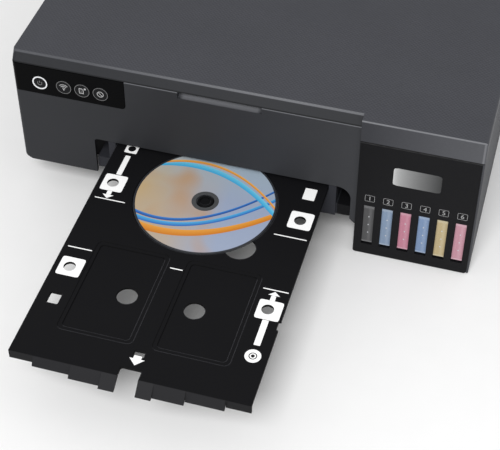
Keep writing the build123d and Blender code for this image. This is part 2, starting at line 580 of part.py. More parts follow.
def tank_front_panel():
    """The black front: a plate with a window for each tank, turned back round its left edge."""
    top = TANK_SEAM_Z
    x1 = RIGHT - FLANK_LIP
    plate = block(TANK_X, x1, TANK_FRONT, TANK_FRONT + WALL, TANK_PANEL_BOTTOM, top)
    plate += block(TANK_X, TANK_X + WALL, TANK_FRONT, FRONT + BASE_RECESS - RUN_GAP, TANK_PANEL_BOTTOM, top)
    lower = plate.edges().filter_by(Axis.Y).group_by(Axis.Z)[0].sort_by(Axis.X)
    plate = fillet(lower[-1], TANK_PANEL_R)
    lower = plate.edges().filter_by(Axis.Y).group_by(Axis.Z)[0].sort_by(Axis.X)
    plate = fillet(lower[0], min(TANK_PANEL_R, WALL - 0.2))
    upper = plate.edges().filter_by(Axis.X).group_by(Axis.Z)[-1].sort_by(Axis.Y)
    plate = chamfer(upper[0], EDGE_LINE)
    for index in range(TANK_COUNT):
        x = tank_x(index)
        plate -= slab(x - WINDOW_W / 2, x + WINDOW_W / 2, TANK_FRONT - 1, TANK_FRONT + WALL + 1,
                      WINDOW_BOTTOM, WINDOW_TOP, 0.6)
    plate += block(TANK_X + WALL, RIGHT - WALL - 0.5, TANK_FRONT + WALL, FRONT + 8, top - 8, top - 6)
    return plate


def ink_tank(index):
    """A moulded tank with a level window at the front and a filling neck on top, full of ink."""
    x = tank_x(index)
    y0, y1 = FRONT + TANK_SETBACK, TANK_REAR
    body = slab(x - TANK_W / 2, x + TANK_W / 2, y0, y1, TANK_BOTTOM, TANK_TOP, 1.5)
    body += block(x - NOSE_W / 2, x + NOSE_W / 2, TANK_FRONT + 0.8, y0 + 1, NOSE_BOTTOM, WINDOW_TOP - 0.3)
    seated = (Align.CENTER, Align.CENTER, Align.MIN)
    body += Pos(x, CAP_Y, TANK_TOP) * Cone(NECK_R, NECK_R - 0.8, NECK_H, align=seated)
    body -= rod_z(x, CAP_Y, TANK_TOP + 1, TANK_TOP + NECK_H + 1, 1.9)
    for side in (-1, 1):
        ear = x + side * (CAP_ARM_W / 2 + RUN_GAP + 0.8)
        upright = block(ear - 0.8, ear + 0.8, CAP_HINGE_Y - 2.4, CAP_HINGE_Y + 2.4, TANK_TOP - 1, CAP_HINGE_Z)
        upright += rod_x(ear - 0.8, ear + 0.8, CAP_HINGE_Y, CAP_HINGE_Z, 2.4)
        body += upright - rod_x(ear - 2, ear + 2, CAP_HINGE_Y, CAP_HINGE_Z, CAP_PIN_R + PIN_CLEARANCE)
    return body


def tank_cap(index):
    """A push-on cap with an arm to the pin that it turns on."""
    x = tank_x(index)
    top = TANK_TOP + NECK_H + CAP_H - 1
    cap = rod_z(x, CAP_Y, TANK_TOP + NECK_H - 2.5, top, CAP_R)
    cap = chamfer(cap.edges().group_by(Axis.Z)[-1], 0.8)
    cap -= rod_z(x, CAP_Y, TANK_TOP, TANK_TOP + NECK_H + RUN_GAP, NECK_R + RUN_GAP)
    half = CAP_ARM_W / 2
    cap += block(x - half, x + half, CAP_Y + NECK_R + 2 * RUN_GAP, CAP_HINGE_Y, CAP_HINGE_Z - 1.0, top)
    barrel = rod_x(x - half, x + half, CAP_HINGE_Y, CAP_HINGE_Z, 2.4)
    barrel += rod_x(x - half - 1.5, x + half + 1.5, CAP_HINGE_Y, CAP_HINGE_Z, CAP_PIN_R)
    tab = block(x - 3, x + 3, CAP_Y - CAP_R - 3, CAP_Y - CAP_R + 2, top - 1.6, top)
    return cap + barrel + tab


# ---------------------------------------------------------------- disc tray
def tray_plate():
    """The flat of the tray with the notch that the user holds it by."""
    x0, x1 = PATH_X - TRAY_WIDTH / 2, PATH_X + TRAY_WIDTH / 2
    crease, rear = FRONT - TRAY_OUT, FRONT + TRAY_IN
    plate = block(x0, x1, crease, rear, TRAY_BOTTOM, TRAY_TOP)
    back_corners = plate.edges().filter_by(Axis.Z).group_by(Axis.Y)[-1]
    return fillet(back_corners, 8.0)


def tray_lip():
    """The front edge, turned down in zones that reach further forward towards the middle."""
    crease = FRONT - TRAY_OUT
    half = TRAY_WIDTH / 2
    bounds = [half, *(half * share for share in LIP_SHARES), 0.0]
    lip = None
    for index, reach in enumerate(LIP_STEPS):
        outer, inner = bounds[index], bounds[index + 1]
        section = [(crease + 0.01, TRAY_TOP), (crease - reach, TRAY_TOP - LIP_DROP),
                   (crease - reach + LIP_T, TRAY_TOP - LIP_DROP), (crease + LIP_T + 0.2, TRAY_BOTTOM)]
        for x0, x1 in ((PATH_X - outer, PATH_X - inner), (PATH_X + inner, PATH_X + outer)):
            zone = along_x(section, x0, x1)
            lip = zone if lip is None else lip + zone
    return lip


def disc_tray():
    tray = tray_plate() + tray_lip()
    crease = FRONT - TRAY_OUT
    notch = slab(PATH_X - NOTCH_W / 2, PATH_X + NOTCH_W / 2, crease - 2 * LIP_REACH, crease + NOTCH_DEPTH,
                 TRAY_TOP - LIP_DROP - 1, TRAY_TOP + 1, 2.0)
    tray -= notch
    # disc seat with its hub
    under, over = TRAY_BOTTOM - 1, TRAY_TOP + 1
    y = FRONT - DISC_OUT
    seat = TRAY_TOP - DISC_RECESS
    tray -= rod_z(PATH_X, y, seat, TRAY_TOP + 1, DISC_R + DISC_CLEARANCE)
    hub = rod_z(PATH_X, y, TRAY_BOTTOM, TRAY_TOP + 0.3, DISC_BORE_R - 0.2)
    hub = chamfer(hub.edges().group_by(Axis.Z)[-1], 0.6)
    hub -= rod_z(PATH_X, y, TRAY_TOP - 0.5, TRAY_TOP + 1, DISC_BORE_R - 3.0)
    tray += hub
    # card pockets: a shallow ledge round a deeper bed, each with a hole to push the card out
    for side in (-1, 1):
        x = PATH_X + side * CARD_OFFSET
        card_y = FRONT - CARD_OUT
        half_w, half_l = CARD_W / 2 + CARD_LEDGE, CARD_L / 2 + CARD_LEDGE
        ledge = slab(x - half_w, x + half_w, card_y - half_l, card_y + half_l, TRAY_TOP - 0.25, over, 5.0)
        bed = slab(x - CARD_W / 2, x + CARD_W / 2, card_y - CARD_L / 2, card_y + CARD_L / 2,
                   TRAY_TOP - CARD_RECESS, over, 3.2)
        tray -= ledge + bed
        tray -= rod_z(PATH_X + side * PUSH_HOLE_OFFSET, card_y - 1.8, under, over, PUSH_HOLE_R)
    # finger hole at the disc's edge, registration holes and the small windows
    reach = DISC_R / math.sqrt(2)
    tray -= rod_z(PATH_X + reach, y - reach, under, over, FINGER_HOLE_R)
    for side in (-1, 1):
        for out in MARK_OUTS:
            tray -= rod_z(PATH_X + side * MARK_OFFSET, FRONT - out, under, over, MARK_HOLE_R)
    for x0, x1, y0, y1 in WINDOWS:
        tray -= slab(PATH_X + x0, PATH_X + x1, FRONT - y0, FRONT - y1, under, over, 1.0)
    edge = PATH_X + TRAY_WIDTH / 2
    return tray - slab(edge - 1.8, edge + 3, FRONT - 160.7, FRONT - 151.5, under, over, 1.2)


def disc():
    y = FRONT - DISC_OUT
    z0 = TRAY_TOP - DISC_RECESS
    plate = rod_z(PATH_X, y, z0, z0 + DISC_T, DISC_R)
    return plate - rod_z(PATH_X, y, z0 - 1, z0 + DISC_T + 1, DISC_BORE_R)


def tray_guides():
    """Two rails that carry and line up the tray's sides, with a foot on the base."""
    rails = []
    y0, y1 = FRONT + 0.2, FRONT + GUIDE_LENGTH
    foot = SLOT_WIDTH / 2 - 0.7
    ledge = TRAY_WIDTH / 2 - GUIDE_LEDGE
    ledge_top = TRAY_BOTTOM - RUN_GAP
    for side in (-1, 1):
        def span(a, b):
            return sorted((PATH_X + side * a, PATH_X + side * b))
        rail = block(*span(ledge, GUIDE_HALF), y0, y1, GUIDE_BOTTOM, ledge_top)
        rail += block(*span(TRAY_WIDTH / 2 + RUN_GAP, GUIDE_HALF), y0, y1, GUIDE_BOTTOM, SLOT_TOP - 0.5)
        rail += block(*span(GUIDE_HALF - 1, foot), FRONT + WALL, y1, GUIDE_BOTTOM, GUIDE_BOTTOM + 11.5)
        rail += block(*span(OUTPUT_HALF + 2, foot), FRONT + BASE_RECESS, y1, FRONT_BOTTOM, GUIDE_BOTTOM + 1)
        rail -= block(*span(ledge + 2, GUIDE_HALF - 2.5), y0 + 2, y1 + 1, GUIDE_BOTTOM - 1, ledge_top - 2)
        rails.append(rail)
    return Compound(children=rails)


# ---------------------------------------------------------------- transport
def side_plates():
    """Two sheet-steel plates between which the rollers turn, each bent inwards to a ledge."""
    plates = []
    for side in (-1, 1):
        xs = sorted((PATH_X + side * PLATE_HALF, PATH_X + side * (PLATE_HALF + PLATE_T)))
        plate = block(*xs, FRONT + GUIDE_LENGTH + 1, PLATES_BACK, BASE_FLOOR, PLATE_TOP)
        inner = sorted((PATH_X + side * (OUTPUT_HALF - 6), PATH_X + side * (PLATE_HALF + 0.5)))
        plate += block(*inner, FRONT + GUIDE_LENGTH + 1, PLATES_BACK, FRONT_BOTTOM - 2.2, FRONT_BOTTOM - 0.2)
        bores = [(EXIT_AXIS, EXIT_SHAFT_R), (FEED_AXIS, FEED_SHAFT_R)]
        if side < 0:
            bores.append((idler_axis(), IDLER_PIN_R))
        for axis, radius in bores:
            plate -= rod_x(xs[0] - 1, xs[1] + 1, *axis, radius + PIN_CLEARANCE)
        plates.append(plate)
    return Compound(children=plates)


def platen():
    """The ribbed bed under the print line."""
    x0, x1 = PATH_X - PLATE_HALF, PATH_X + PLATE_HALF
    y0, y1 = FRONT + HEAD_Y - 26, FRONT + HEAD_Y + 30
    bed = block(x0, x1, y0, y1, ROLLER_TOP - 14, ROLLER_TOP - 4)
    bed -= block(x0 + 4, x1 - 4, y0 + 3, y1 - 3, ROLLER_TOP - 15, ROLLER_TOP - 6.5)
    ribs = 14
    for index in range(ribs):
        x = x0 + 8 + index * (x1 - x0 - 16) / (ribs - 1)
        bed += along_x([(y0 + 1, ROLLER_TOP - 4.5), (y0 + 4, ROLLER_TOP), (y1 - 4, ROLLER_TOP),
                        (y1 - 1, ROLLER_TOP - 4.5)], x - 1, x + 1)
    bed -= block(x0 + 14, x1 - 14, FRONT + HEAD_Y - 6, FRONT + HEAD_Y + 6, ROLLER_TOP - 3, ROLLER_TOP + 1)
    return bed


def roller_end(axis, shaft_r):
    """The shaft from the gear to just past the right side plate."""
    return rod_x(GEAR_LEFT - 2, PATH_X + PLATE_HALF + PLATE_T + 0.8, *axis, shaft_r)


def feed_roller():
    sleeve = rod_x(PATH_X - PLATE_HALF + 1, PATH_X + PLATE_HALF - 1, *FEED_AXIS, FEED_R)
    return sleeve + roller_end(FEED_AXIS, FEED_SHAFT_R)


def exit_places():
    """Where the exit roller has its tyres, each under a star wheel."""
    pitch = (PLATE_HALF - 29) / ((EXIT_COUNT - 1) / 2)
    return [PATH_X + (index - (EXIT_COUNT - 1) / 2) * pitch for index in range(EXIT_COUNT)]


def exit_roller():
    roller = roller_end(EXIT_AXIS, EXIT_SHAFT_R)
    for x in exit_places():
        roller += rod_x(x - 8, x + 8, *EXIT_AXIS, EXIT_R)
    return roller


def idler_axis():
    """Where the idler meshes with both roller gears: the lower crossing of two circles."""
    (y0, z0), (y1, z1) = FEED_AXIS, EXIT_AXIS
    r0 = GEAR_MODULE * (FEED_TEETH + IDLER_TEETH) / 2
    r1 = GEAR_MODULE * (EXIT_TEETH + IDLER_TEETH) / 2
    d = math.hypot(y1 - y0, z1 - z0)
    a = (r0 * r0 - r1 * r1 + d * d) / (2 * d)
    h = math.sqrt(max(r0 * r0 - a * a, 0))
    uy, uz = (y1 - y0) / d, (z1 - z0) / d
    return (y0 + a * uy - h * uz, z0 + a * uz + h * uy)


def mesh_turn(teeth, axis, other, other_teeth, other_turn):
    """Degrees to turn a gear so that its gap faces the other gear's nearest tooth."""
    dy, dz = other[0] - axis[0], other[1] - axis[1]
    # the gear's own plane after it is laid on its side: its x axis is -Z and its y axis is +Y
    toward = math.degrees(math.atan2(dy, -dz))
    back = toward + 180
    phase = ((back - other_turn) / (360 / other_teeth)) % 1.0
    return toward - (0.5 - phase) * (360 / teeth)


def gear_turns():
    idler = idler_axis()
    feed = 0.0
    idler_turn = mesh_turn(IDLER_TEETH, idler, FEED_AXIS, FEED_TEETH, feed)
    exit_turn = mesh_turn(EXIT_TEETH, EXIT_AXIS, idler, IDLER_TEETH, idler_turn)
    pinion_turn = mesh_turn(PINION_TEETH, PINION_AXIS, FEED_AXIS, FEED_TEETH, feed)
    return {"feed": feed, "idler": idler_turn, "exit": exit_turn, "pinion": pinion_turn}


def feed_gear():
    return gear_x(FEED_TEETH, GEAR_LEFT, GEAR_RIGHT, FEED_AXIS, gear_turns()["feed"], FEED_SHAFT_R)


def exit_gear():
    return gear_x(EXIT_TEETH, GEAR_LEFT, GEAR_RIGHT, EXIT_AXIS, gear_turns()["exit"], EXIT_SHAFT_R)


def idler_gear():
    """The idler with its own pin, which turns in the left side plate."""
    axis = idler_axis()
    gear = gear_x(IDLER_TEETH, GEAR_LEFT, GEAR_RIGHT, axis, gear_turns()["idler"], IDLER_PIN_R)
    return gear + rod_x(GEAR_LEFT - 1, PATH_X - PLATE_HALF, *axis, IDLER_PIN_R)


def feed_pinion():
    """The motor's pinion on its shaft."""
    gear = gear_x(PINION_TEETH, GEAR_LEFT, GEAR_RIGHT, PINION_AXIS, gear_turns()["pinion"], MOTOR_SHAFT_R)
    return gear + rod_x(GEAR_LEFT - 1, MOTOR_X + 6, *PINION_AXIS, MOTOR_SHAFT_R)


def feed_motor():
    body = rod_x(MOTOR_X, PATH_X - PLATE_HALF - PLATE_T, *PINION_AXIS, 15.0)
    body = chamfer(body.edges().group_by(Axis.X)[0], 1.0)
    body += rod_x(MOTOR_X - 1.5, MOTOR_X + 1, *PINION_AXIS, 5.0)
    return body - rod_x(MOTOR_X - 3, MOTOR_X + 8, *PINION_AXIS, MOTOR_SHAFT_R + PIN_CLEARANCE)


def pinch_rollers():
    """Arms from the rail that hold small rollers over the feed roller."""
    arms = []
    pitch = (PLATE_HALF - 35) / ((PINCH_COUNT - 1) / 2)
    for index in range(PINCH_COUNT):
        x = PATH_X + (index - (PINCH_COUNT - 1) / 2) * pitch
        z = TRAY_OVER + PINCH_R
        y = FEED_AXIS[0]
        arm = along_x([(y - 2, z + 3.0), (y + 3, z + PINCH_R + 1.6), (FRONT + RAIL_Y, RAIL_BOTTOM + 5),
                       (FRONT + RAIL_Y, RAIL_BOTTOM), (y + 7, z + 1)], x - 10, x + 10)
        arm += rod_x(x - 16, x - 10, y, z, PINCH_R) + rod_x(x + 10, x + 16, y, z, PINCH_R)
        arm += rod_x(x - 12, x + 12, y, z, 2.5)
        arms.append(arm)
    return Compound(children=arms)


def star_wheel_rail():
    """A bar over the exit roller with thin spiked wheels, on a foot at each side plate."""
    y, z = EXIT_AXIS[0], TRAY_OVER + 6.0
    half = PLATE_HALF + PLATE_T
    bar = block(PATH_X - half, PATH_X + half, y - 7, y + 7, z + 2.2, z + 7)
    for side in (-1, 1):
        xs = sorted((PATH_X + side * (PLATE_HALF - 10), PATH_X + side * half))
        bar += block(*xs, y - 7, y + 7, PLATE_TOP, z + 3)
    for x in exit_places():
        star = Polyline([(5.6 * math.cos(a) if k % 2 == 0 else 4.2 * math.cos(a),
                          5.6 * math.sin(a) if k % 2 == 0 else 4.2 * math.sin(a))
                         for k, a in enumerate([math.pi * n / 8 for n in range(16)])], close=True)
        wheel = extrude(make_face(star), 0.8)
        bar += Pos(x - 0.4, y, z) * Rot(0, 90, 0) * wheel
        bar += block(x - 2, x + 2, y - 2, y + 2, z, z + 3)
    return bar


# ---------------------------------------------------------------- carriage drive
def main_frame():
    """The pressed-steel rail: an upright plate with a turned top and an ear at each end for the shaft."""
    x0, x1 = LEFT + RAIL_LEFT, RIGHT - RAIL_RIGHT
    y = FRONT + RAIL_Y
    frame = block(x0, x1, y, y + PLATE_T, RAIL_BOTTOM, RAIL_TOP)
    frame += block(x0, x1, y - 20, y + PLATE_T, RAIL_TOP - PLATE_T, RAIL_TOP)
    for x in (x0, x1 - PLATE_T):
        frame += block(x, x + PLATE_T, FRONT + SHAFT_BACK - 8, y + PLATE_T, SHAFT_Z - 12, RAIL_TOP)
        frame += block(x, x + PLATE_T, y - 14, y + PLATE_T, BASE_FLOOR, SHAFT_Z)
        frame -= rod_x(x - 1, x + PLATE_T + 1, FRONT + SHAFT_BACK, SHAFT_Z, SHAFT_R)
    frame -= rod_y(PULLEY_LEFT, y - 1, y + 5, BELT_Z, 3.0)
    frame += rod_y(PULLEY_RIGHT, BELT_Y - 1, y + 0.5, BELT_Z, IDLER_STUD_R)
    for share in (0.26, 0.44, 0.62, 0.8):
        x = x0 + (x1 - x0) * share
        frame -= block(x - 15, x + 15, y - 1, y + 5, SHAFT_Z - 12, SHAFT_Z - 2)
    return frame


def guide_shaft():
    return rod_x(LEFT + RAIL_LEFT, RIGHT - RAIL_RIGHT, FRONT + SHAFT_BACK, SHAFT_Z, SHAFT_R)


def carriage():
    """The moving holder: a head box in front, a bushed rear over the shaft, and a belt clip behind."""
    x = CARRIAGE_X
    half = CARRIAGE_W / 2
    y0 = FRONT + HEAD_Y - 19
    rear = FRONT + SHAFT_BACK + 7
    top, bay_floor = SHAFT_Z + 21, SHAFT_Z - 4
    profile = [(y0, TRAY_OVER + 3), (y0 + 36, TRAY_OVER + 3), (y0 + 42, SHAFT_Z - 14), (rear, SHAFT_Z - 14),
               (rear, SHAFT_Z + 10), (y0 + 60, top), (y0 + 8, top), (y0, top - 8)]
    body = along_x(profile, x - half, x + half)
    body -= block(x - half + 3, x + half - 3, y0 + 10, y0 + 50, bay_floor, top + 9)
    body -= block(x - half + 12, x + half - 12, FRONT + SHAFT_BACK - 10, rear + 1, SHAFT_Z - 20, SHAFT_Z + 12)
    body -= rod_x(x - half - 1, x + half + 1, FRONT + SHAFT_BACK, SHAFT_Z, SHAFT_R + PIN_CLEARANCE)
    # louvred rib row over the dampers
    for index in range(5):
        rib = x - half + 8 + index * (CARRIAGE_W - 16) / 4
        body += block(rib - 0.8, rib + 0.8, y0 + 10, y0 + 50, bay_floor, top - 3)
    low = BELT_Z - PULLEY_R
    clip = block(x - 8, x + 8, rear - 2.5, BELT_Y + BELT_W, low - 6, low - BELT_T - RUN_GAP)
    clip += block(x - 8, x + 8, rear - 2.5, BELT_Y - RUN_GAP, low - 6, low + 4)
    body += clip + block(x - half + 4, x + half - 4, rear - 2.5, rear, low - 6, low + 2)
    fork = block(x - 4, x + 4, STRIP_Y - 4, STRIP_Y + 4, SHAFT_Z + 12, SHAFT_Z + 27)
    fork += block(x - 4, x + 4, FRONT + SHAFT_BACK - 14, STRIP_Y + 4, SHAFT_Z + 6, SHAFT_Z + 12)
    fork -= block(x - 5, x + 5, STRIP_Y - 0.8, STRIP_Y + 0.8, SHAFT_Z + 19, SHAFT_Z + 28)
    return body + fork


def print_head():
    x = CARRIAGE_X
    y = FRONT + HEAD_Y
    head = block(x - 24, x + 24, y - 12, y + 14, TRAY_OVER + 1.1, TRAY_OVER + 3)
    head = chamfer(head.edges().group_by(Axis.Z)[0], 0.5)
    for index in range(6):
        groove = x - 15 + index * 6
        head -= block(groove - 0.6, groove + 0.6, y - 9, y + 11, TRAY_OVER + 1, TRAY_OVER + 1.4)
    return head


def pulley_outline():
    """A belt pulley's outline: a groove for each belt tooth."""
    points = []
    step = 2 * math.pi / PULLEY_TEETH
    root = PULLEY_R - 1.3
    for tooth in range(PULLEY_TEETH):
        for radius, share in ((PULLEY_R - 0.3, -0.22), (PULLEY_R - 0.3, 0.22), (root, 0.34), (root, 0.66)):
            angle = (tooth + share) * step
            points.append((radius * math.cos(angle), radius * math.sin(angle)))
    return make_face(Polyline(points, close=True))


def pulley(x):
    """A toothed wheel with two flanges, on an axis along Y."""
    core = extrude(pulley_outline(), BELT_W + 1)
    flange = Cylinder(PULLEY_R + 2.2, 1.0)
    core += Pos(0, 0, -0.5) * flange + Pos(0, 0, BELT_W + 1.5) * flange
    return Pos(x, BELT_Y + BELT_W + 0.5, BELT_Z) * Rot(90, 0, 0) * core


def drive_pulley():
    shaft_end = FRONT + RAIL_Y + PLATE_T + 12
    return pulley(PULLEY_LEFT) + rod_y(PULLEY_LEFT, BELT_Y - 0.5, shaft_end, BELT_Z, MOTOR_SHAFT_R)


def idler_pulley():
    stud_bore = rod_y(PULLEY_RIGHT, BELT_Y - 5, BELT_Y + BELT_W + 5, BELT_Z, IDLER_STUD_R + PIN_CLEARANCE)
    return pulley(PULLEY_RIGHT) - stud_bore


def carriage_motor():
    y0 = FRONT + RAIL_Y + PLATE_T
    body = rod_y(PULLEY_LEFT, y0, y0 + 32, BELT_Z, 14.0)
    body = chamfer(body.edges().group_by(Axis.Y)[-1], 1.5)
    body += rod_y(PULLEY_LEFT, y0 - PLATE_T + 0.2, y0 + 1, BELT_Z, 2.9)
    return body - rod_y(PULLEY_LEFT, y0 - 5, y0 + 13, BELT_Z, MOTOR_SHAFT_R + PIN_CLEARANCE)


def timing_belt():
    """The toothed loop: two straight runs and a half turn round each pulley, teeth inwards."""
    x0, x1 = PULLEY_LEFT, PULLEY_RIGHT
    centre, length = (x0 + x1) / 2, x1 - x0
    outer = extrude(SlotCenterToCenter(length, 2 * (PULLEY_R + BELT_T)), BELT_W)
    belt = outer - extrude(SlotCenterToCenter(length, 2 * PULLEY_R), BELT_W)
    count = int(length / BELT_PITCH) - 1
    teeth = []
    for index in range(count):
        x = (index - (count - 1) / 2) * BELT_PITCH
        for side in (-1, 1):
            tooth = Pos(x, side * (PULLEY_R - 0.3), BELT_W / 2) * Box(1.8, 1.0, BELT_W)
            teeth.append(tooth)
    belt = belt.fuse(*teeth)
    return Pos(centre, BELT_Y + BELT_W, BELT_Z) * Rot(90, 0, 0) * belt


def encoder_strip():
    """The film that the carriage reads its place from, between the rail's two ears."""
    x0, x1 = LEFT + RAIL_LEFT + PLATE_T, RIGHT - RAIL_RIGHT - PLATE_T
    return block(x0, x1, STRIP_Y - 0.15, STRIP_Y + 0.15, RAIL_TOP - PLATE_T - 10, RAIL_TOP - PLATE_T)


def ink_tubes():
    """Six soft tubes one over another, from the backs of the tanks to the joint block on the arm."""
    tubes = []
    for index in range(TANK_COUNT):
        x, z = tank_x(index), TUBE_Z + index * TUBE_PITCH
        corners = [(x, TANK_REAR, TUBE_LOW), (x, TUBE_Y, TUBE_LOW), (x, TUBE_Y, z), (TUBE_END, TUBE_Y, z)]
        path = FilletPolyline(*corners, radius=2.2)
        profile = Plane(origin=path @ 0, z_dir=path % 0) * Circle(TUBE_R)
        tubes.append(sweep(profile, path=path))
    return Compound(children=tubes)


def capping_station():
    """Where the head parks: a housing with a raised soft cap and a wiper blade."""
    x = CARRIAGE_X
    y = FRONT + HEAD_Y
    rim = TRAY_OVER - 6.9
    station = block(x - 32, x + 32, y - 16, y + 30, BASE_FLOOR, rim)
    station -= block(x - 29, x + 29, y - 13, y + 27, rim - 8, rim + 1)
    top = TRAY_OVER + 1.1 - RUN_GAP
    cap = block(x - 27, x + 27, y - 11, y + 12, rim - 10, top - 2)
    cap += block(x - 26, x + 26, y - 10, y + 11, top - 2, top)
    cap -= block(x - 24, x + 24, y - 8, y + 9, top - 4, top + 1)
    station += cap
    station += block(x - 12, x + 12, y + 18, y + 19.2, rim - 10, top)
    return station


def waste_pad():
    return slab(TANK_X + 12, RIGHT - 14, FRONT + 150, FRONT + 240, BASE_FLOOR, FRONT_BOTTOM + 2.5, 4.0)


# ---------------------------------------------------------------- electrics
def power_supply():
    y0, y1, top = FRONT + RAIL_Y + 14, BACK - 44, BASE_FLOOR + 43.5
    unit = slab(LEFT + 12, LEFT + 60, y0, y1, BASE_FLOOR, top, 3.0)
    vents = 6
    for index in range(vents):
        y = y0 + 12 + index * (y1 - y0 - 24) / vents
        unit -= block(LEFT + 20, LEFT + 52, y, y + 5, top - 1, top + 1)
    return unit


def power_inlet():
    """The two-pin mains inlet in the back wall."""
    x0, x1 = INLET_X
    z0, z1 = INLET_Z
    body = block(x0 + 0.2, x1 - 0.2, BACK - 22, BACK - 0.3, z0 + 0.2, z1 - 0.2)
    centre, middle = (x0 + x1) / 2, (z0 + z1) / 2
    recess = Pos(centre, BACK + 1, middle) * Rot(90, 0, 0) * extrude(RectangleRounded(18, 11, 5), 15)
    body -= recess
    for side in (-1, 1):
        body += rod_y(centre + side * 4.3, BACK - 16, BACK - 4, middle, 1.2)
    return body + block(x0 - 4, x1 + 4, BACK - WALL - 2, BACK - WALL, z0 - 3, z1 + 3) - recess


def main_board():
    """The circuit board on its four posts, with its larger parts and the data socket."""
    x0, x1 = BOARD_X
    y0, y1 = BOARD_Y
    board = block(x0, x1, y0, y1, BOARD_Z, BOARD_Z + 1.6)
    top = BOARD_Z + 1.6
    board += block(x0 + 30, x0 + 54, y0 + 30, y0 + 54, top, top + 2.4)
    board += block(x0 + 66, x0 + 82, y0 + 34, y0 + 46, top, top + 1.6)
    for index in range(4):
        board += rod_z(x0 + 20 + index * 16, y1 - 20, top, top + 11, 4.0)
    for index in range(3):
        board += block(x0 + 96 + index * 20, x0 + 110 + index * 20, y0 + 6, y0 + 11, top, top + 6)
    left, right = SOCKET_X
    low, high = SOCKET_Z
    rear = BACK - BASE_INSET
    middle = (low + high) / 2
    socket = block(left + 0.3, right - 0.3, y1 - 6, rear - 0.2, low + 0.3, high - 0.3)
    socket -= block(left + 2.2, right - 2.2, rear - 9, BACK, low + 2.0, high - 2.0)
    socket += block(left + 4.0, right - 4.0, rear - 9.5, rear - 2, middle - 1, middle + 1)
    return board + socket + block(left + 1, right - 1, y1 - 6, y1 - 1, BOARD_Z, low + 1)


# ---------------------------------------------------------------- rear feeder
def on_slope(shape):
    """Puts a shape made on the hopper's own plane, x across, y up the slope and z out of it, in its place."""
    return Pos(PATH_X, *SLOPE_FOOT) * Rot(90 - HOPPER_LEAN, 0, 0) * shape


def feeder_frame():
    """Two cheeks on the base with a sloped back between them, slotted for the edge guides."""
    frame = None
    for side in (-1, 1):
        xs = sorted((PATH_X + side * CHEEK_HALF, PATH_X + side * (CHEEK_HALF + PLATE_T)))
        cheek = block(*xs, BACK - 86, BACK - 12, BASE_FLOOR, HEIGHT - 18)
        cheek -= rod_x(xs[0] - 1, xs[1] + 1, *PICKUP_AXIS, EXIT_SHAFT_R + PIN_CLEARANCE)
        frame = cheek if frame is None else frame + cheek
    slope = Pos(0, SLOPE_LENGTH / 2, -1.5) * Box(2 * CHEEK_HALF + 1, SLOPE_LENGTH, 3)
    for side in (-1, 1):
        slot = Box(GUIDE_TRAVEL + TONGUE_W + 1, 5, 8)
        slope -= Pos(side * (TONGUE_X - GUIDE_TRAVEL / 2), FENCE_ALONG, 0) * slot
    for share in (-0.64, -0.32, 0.0, 0.32, 0.64):
        x = share * CHEEK_HALF
        slope += Pos(x, SLOPE_LENGTH / 4, 0.25) * Box(2, SLOPE_LENGTH / 3, 0.5)
    return frame + on_slope(slope)


def pickup_roller():
    """A rubber tyre with a flat, on a steel shaft between the cheeks."""
    half = CHEEK_HALF + PLATE_T + 1
    tyre = rod_x(PATH_X - 22, PATH_X + 22, *PICKUP_AXIS, PICKUP_R)
    flat_y = PICKUP_AXIS[0] - PICKUP_R + 3
    tyre -= block(PATH_X - 23, PATH_X + 23, flat_y - PICKUP_R, flat_y, 0, HEIGHT)
    return tyre + rod_x(PATH_X - half, PATH_X + half, *PICKUP_AXIS, EXIT_SHAFT_R)


def edge_guide(side):
    """A finger-moved fence for the sheet's edge, sliding on the hopper."""
    x = side * (SHEET_HALF + 1.25)
    fence = Pos(x, FENCE_ALONG, 10.2) * Box(2.5, 34, 19.8)
    fence = fillet(fence.edges().filter_by(Axis.X).group_by(Axis.Z)[-1], 6.0)
    plate = Pos(x - side * 7, FENCE_ALONG, 1.1) * Box(14, 34, 1.6)
    tongue = Pos(side * TONGUE_X, FENCE_ALONG, -1.2) * Box(TONGUE_W, 4.2, 3.4)
    return on_slope(fence + plate + tongue)


def paper_support():
    """The flap over the feeder, which stands up to hold the paper."""
    x0, x1 = PATH_X - SUPPORT_HALF, PATH_X + SUPPORT_HALF
    flap = slab(x0, x1, DECK_Y + 0.5, BACK - 2, HEIGHT - SUPPORT_T, HEIGHT, 3.0)
    flap -= block(x0 + 30, x1 - 30, DECK_Y, DECK_Y + 4, HEIGHT - 1.6, HEIGHT + 1)
    for index in range(4):
        x = x0 + 40 + index * (x1 - x0 - 80) / 3
        flap += block(x - 1, x + 1, DECK_Y + 12, BACK - 20, HEIGHT - SUPPORT_T - 2, HEIGHT - SUPPORT_T)
    y, z = SUPPORT_AXIS
    for side in (-1, 1):
        end = PATH_X + side * SUPPORT_HALF
        xs = sorted((end, end - side * 8))
        pin = sorted((end - side * 2, end + side * 2.6))
        flap += block(*xs, y - 3, y + 3, z, HEIGHT - SUPPORT_T + 0.5) + rod_x(*xs, y, z, 3.0)
        flap += rod_x(*pin, y, z, HINGE_PIN_R)
    return flap


# ---------------------------------------------------------------- output tray
def output_tray():
    """The catch tray, pushed home: a floor between two low rails."""
    y0, y1 = FRONT + BASE_RECESS + 2, FRONT + BASE_RECESS + 2 + OUTPUT_LENGTH
    z0 = FRONT_BOTTOM + RUN_GAP
    x0, x1 = PATH_X - OUTPUT_HALF, PATH_X + OUTPUT_HALF
    tray = block(x0, x1, y0, y1, z0, z0 + OUTPUT_T)
    return tray - block(x0 + OUTPUT_RAIL, x1 - OUTPUT_RAIL, y0 - 1, y1 - OUTPUT_RAIL, z0 + OUTPUT_WEB, HEIGHT)


